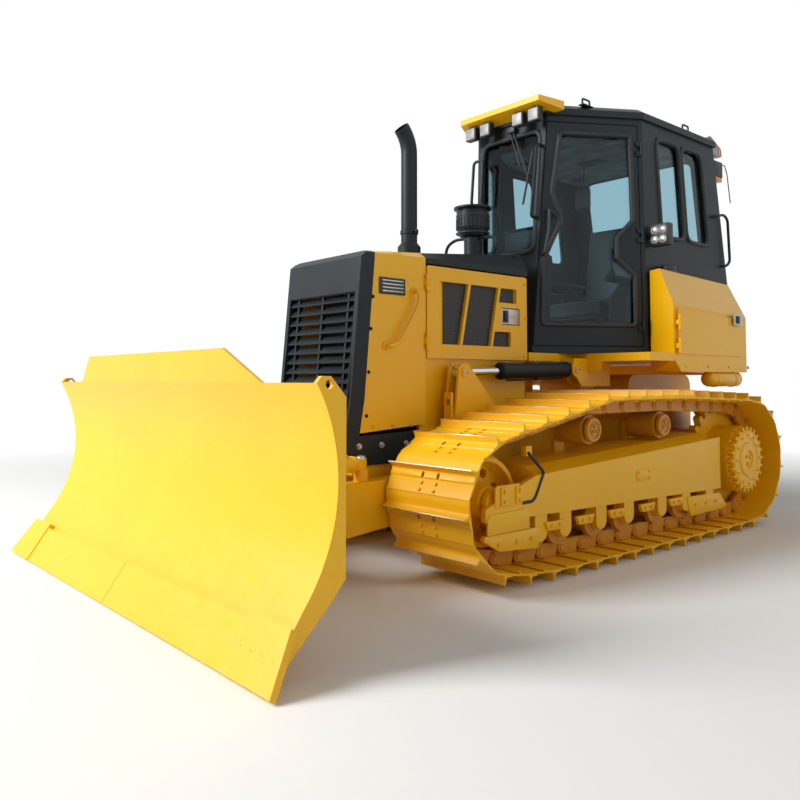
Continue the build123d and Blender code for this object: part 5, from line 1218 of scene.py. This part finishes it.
class DOZER_OT_cylinders(bpy.types.Operator):
    """Glands, hard lines and pin caps of the hydraulic cylinders, bolts of the blade's cutting edge"""
    bl_idname = "dozer.cylinders"
    bl_label = "Cylinders and blade"

    def execute(self, context):
        for name, mirrored_too, base, eye, radius, length, finish in CYLINDERS:
            gland = turned([(radius - 0.006, length - 0.052), (radius + 0.0045, length - 0.050),
                            (radius + 0.0045, length - 0.008), (radius - 0.004, length + 0.001),
                            (radius * 0.66, length + 0.003)], (0, 0, 0), "Z", 36)
            ring = turned([(radius - 0.004, 0.066), (radius + 0.004, 0.068), (radius + 0.004, 0.080),
                           (radius - 0.004, 0.082)], (0, 0, 0), "Z", 36)
            side = -1 if name == "lift" else 1
            off = radius + 0.009
            line = tube([(0, side * (radius - 0.006), 0.100), (0, side * off, 0.112), (0, side * off, 0.150),
                         (0, side * off, length - 0.110), (0, side * off, length - 0.080),
                         (0, side * (radius - 0.006), length - 0.068)], 0.0065, 0.015)
            clip = rounded((-0.012, min(side * radius, side * (off + 0.008)), length * 0.5),
                           (0.012, max(side * radius, side * (off + 0.008)), length * 0.5 + 0.018), 0.002)
            made = along(joined([gland, ring, line, clip]), base, eye)
            if mirrored_too:
                pair(made, name + "_gland", finish, name + "_barrel_")
            else:
                piece(made, name + "_gland", finish, name + "_barrel")
        # bolts of the lift pins, on both faces of the eye, and caps of the angle pins
        out = bolts([(0.476, y, 1.105) for y in (-0.510, -0.474)], "X", 0.007, 0.006)
        into = bolts([(-0.364, y, 1.105) for y in (-0.510, -0.474)], "X", 0.007, 0.004)
        into.data.transform(MIRROR)
        into.data.flip_normals()
        pair(joined([out, into]), "lift_pin_bolts", "silver", "push_frame")
        out = bolts([(0.476, 0.586, 1.131), (0.476, 0.622, 1.131)], "X", 0.007, 0.006)
        pair(out, "base_pin_bolts", "silver")
        for name, place in (("push_frame", (0.410, -1.230, 0.640)), ("yoke", (0.560, -2.026, 0.640))):
            cap = turned([(0, 0.016), (0.016, 0.014), (0.024, 0.008), (0.028, 0.0), (0.028, -0.004)], place,
                         "Z", 28)
            pair(cap, "angle_pin_cap_" + name, "silver", name)
        # cutting edge: sunk plough bolts in a row, four on each end bit
        # the cutting edge leans back by this much over its height
        slope = math.atan(0.6774)
        outward = Vector((0, -math.cos(slope), math.sin(slope)))
        up = Vector((0, outward.z, -outward.y))
        foot = Vector((0, -2.427, 0.003))
        head = turned([(0, 0.0008), (0.0105, 0.0010), (0.0125, -0.0002)], (0, 0, 0), "Z", 20)
        turn = outward.to_track_quat("Z", "Y").to_matrix().to_4x4()
        spots = [(0.076 + 0.152 * k, 0.105, 0.025) for k in range(8)]
        spots += [(1.195 + 0.072 * k, 0.118, 0.030) for k in range(4)]
        places = [Matrix.Translation(foot + AXES["X"] * s * x + up * h + outward * depth) @ turn
                  for s in (-1, 1) for x, h, depth in spots]
        piece(repeated(head, places), "edge_bolts", "yellow", "blade")
        return {"FINISHED"}


# ---------------------------------------------------------------- stage
# side of the floor, how far the camera sees, and its shift in shares of the picture
FLOOR_SIDE, SIGHT, SHIFT = 160, 400, -0.0746


class DOZER_OT_stage(bpy.types.Operator):
    """Floor, light and camera"""
    bl_idname = "dozer.stage"
    bl_label = "Stage"

    def execute(self, context):
        scene = context.scene
        stage = scene.dozer_stage
        bpy.ops.object.select_all(action="DESELECT")
        bpy.ops.mesh.primitive_plane_add(size=FLOOR_SIDE, location=(0, 0, 0))
        floor = context.object
        floor.name = "floor"
        made, tree, shader = new_material("Matt_Studio_Paper", Roughness=0.9)
        feed(shader, Base_Color=colour("#F4F4F2"))
        feed(shader, Specular_IOR_Level=0.0)
        # the floor round the machine keeps its shadow; farther out it runs into the white background
        reach = add_node(tree, "ShaderNodeVectorMath", {0: own_space(tree)},
                         operation="LENGTH").outputs["Value"]
        rays = add_node(tree, "ShaderNodeLightPath")
        seen = reckoned(tree, "MAXIMUM", rays.outputs["Is Camera Ray"], rays.outputs["Is Glossy Ray"])
        seen = reckoned(tree, "MAXIMUM", seen, rays.outputs["Is Transmission Ray"])
        far = reckoned(tree, "MULTIPLY", seen, between(tree, reach, 3.6, 8.5))
        glow = add_node(tree, "ShaderNodeEmission", {"Color": (1, 1, 1, 1), "Strength": 1.0})
        mixed = add_node(tree, "ShaderNodeMixShader", {0: far, 1: shader.outputs[0], 2: glow.outputs[0]})
        out = next(n for n in tree.nodes if n.type == "OUTPUT_MATERIAL")
        tree.links.new(mixed.outputs[0], out.inputs["Surface"])
        floor.data.materials.append(made)
        world = bpy.data.worlds.new("Studio")
        scene.world = world
        world.use_nodes = True
        sky = world.node_tree
        back = next(n for n in sky.nodes if n.type == "BACKGROUND")
        rays = add_node(sky, "ShaderNodeLightPath")
        seen = reckoned(sky, "MAXIMUM", rays.outputs["Is Camera Ray"], rays.outputs["Is Glossy Ray"])
        # light that enters the cab through its glass keeps the level of the rest
        direct = reckoned(sky, "LESS_THAN", rays.outputs["Diffuse Depth"], 0.5)
        through = reckoned(sky, "MULTIPLY", rays.outputs["Is Transmission Ray"], direct)
        seen = reckoned(sky, "MAXIMUM", seen, through)
        light = add_node(sky, "ShaderNodeMix", {"Factor": seen, "A": 0.30, "B": 1.0})
        sky.links.new(light.outputs[0], back.inputs["Strength"])
        back.inputs["Color"].default_value = (1, 1, 1, 1)
        # key lamp ahead of the blade, a soft fill on the left side
        for name, place, size, power in (
            ("key", (-3.5, -9.0, 6.5), 5.0, 1300.0),
            ("fill", (8.0, 1.0, 4.5), 6.0, 80.0),
        ):
            bpy.ops.object.light_add(type="AREA", location=place)
            lamp = context.object
            lamp.name = name
            lamp.data.size = size
            lamp.data.energy = power
            lamp.rotation_euler = (Vector((0, 0, 1.0)) - Vector(place)).to_track_quat("-Z", "Y").to_euler()
        bpy.ops.object.camera_add(location=stage.camera_place,
                                  rotation=(math.pi / 2 + stage.camera_rise, 0, stage.camera_turn))
        camera = context.object
        camera.data.lens = stage.focal_mm
        camera.data.sensor_width = 36
        camera.data.shift_y = SHIFT
        camera.data.clip_end = SIGHT
        scene.camera = camera
        scene.view_settings.view_transform = "Standard"
        return {"FINISHED"}


class DOZER_PT_panel(bpy.types.Panel):
    bl_label = "Dozer"
    bl_idname = "DOZER_PT_panel"
    bl_space_type = "VIEW_3D"
    bl_region_type = "UI"
    bl_category = "Dozer"

    def draw(self, context):
        for step in STEPS:
            self.layout.operator(step.bl_idname)


STEPS = (DOZER_OT_nodes, DOZER_OT_tracks, DOZER_OT_undercarriage, DOZER_OT_hood, DOZER_OT_stacks,
         DOZER_OT_cab, DOZER_OT_interior, DOZER_OT_tanks, DOZER_OT_cylinders, DOZER_OT_stage)
CLASSES = (DozerPaint, DozerTrack, DozerStage) + STEPS + (DOZER_PT_panel,)


def register():
    for made in CLASSES:
        bpy.utils.register_class(made)
    bpy.types.Scene.dozer_paint = bpy.props.PointerProperty(type=DozerPaint)
    bpy.types.Scene.dozer_track = bpy.props.PointerProperty(type=DozerTrack)
    bpy.types.Scene.dozer_stage = bpy.props.PointerProperty(type=DozerStage)


def unregister():
    del bpy.types.Scene.dozer_paint
    del bpy.types.Scene.dozer_track
    del bpy.types.Scene.dozer_stage
    for made in reversed(CLASSES):
        bpy.utils.unregister_class(made)


def main():
    """Runs every step in order."""
    register()
    for step in STEPS:
        group, name = step.bl_idname.split(".")
        getattr(getattr(bpy.ops, group), name)()


if __name__ == "__main__":
    main()
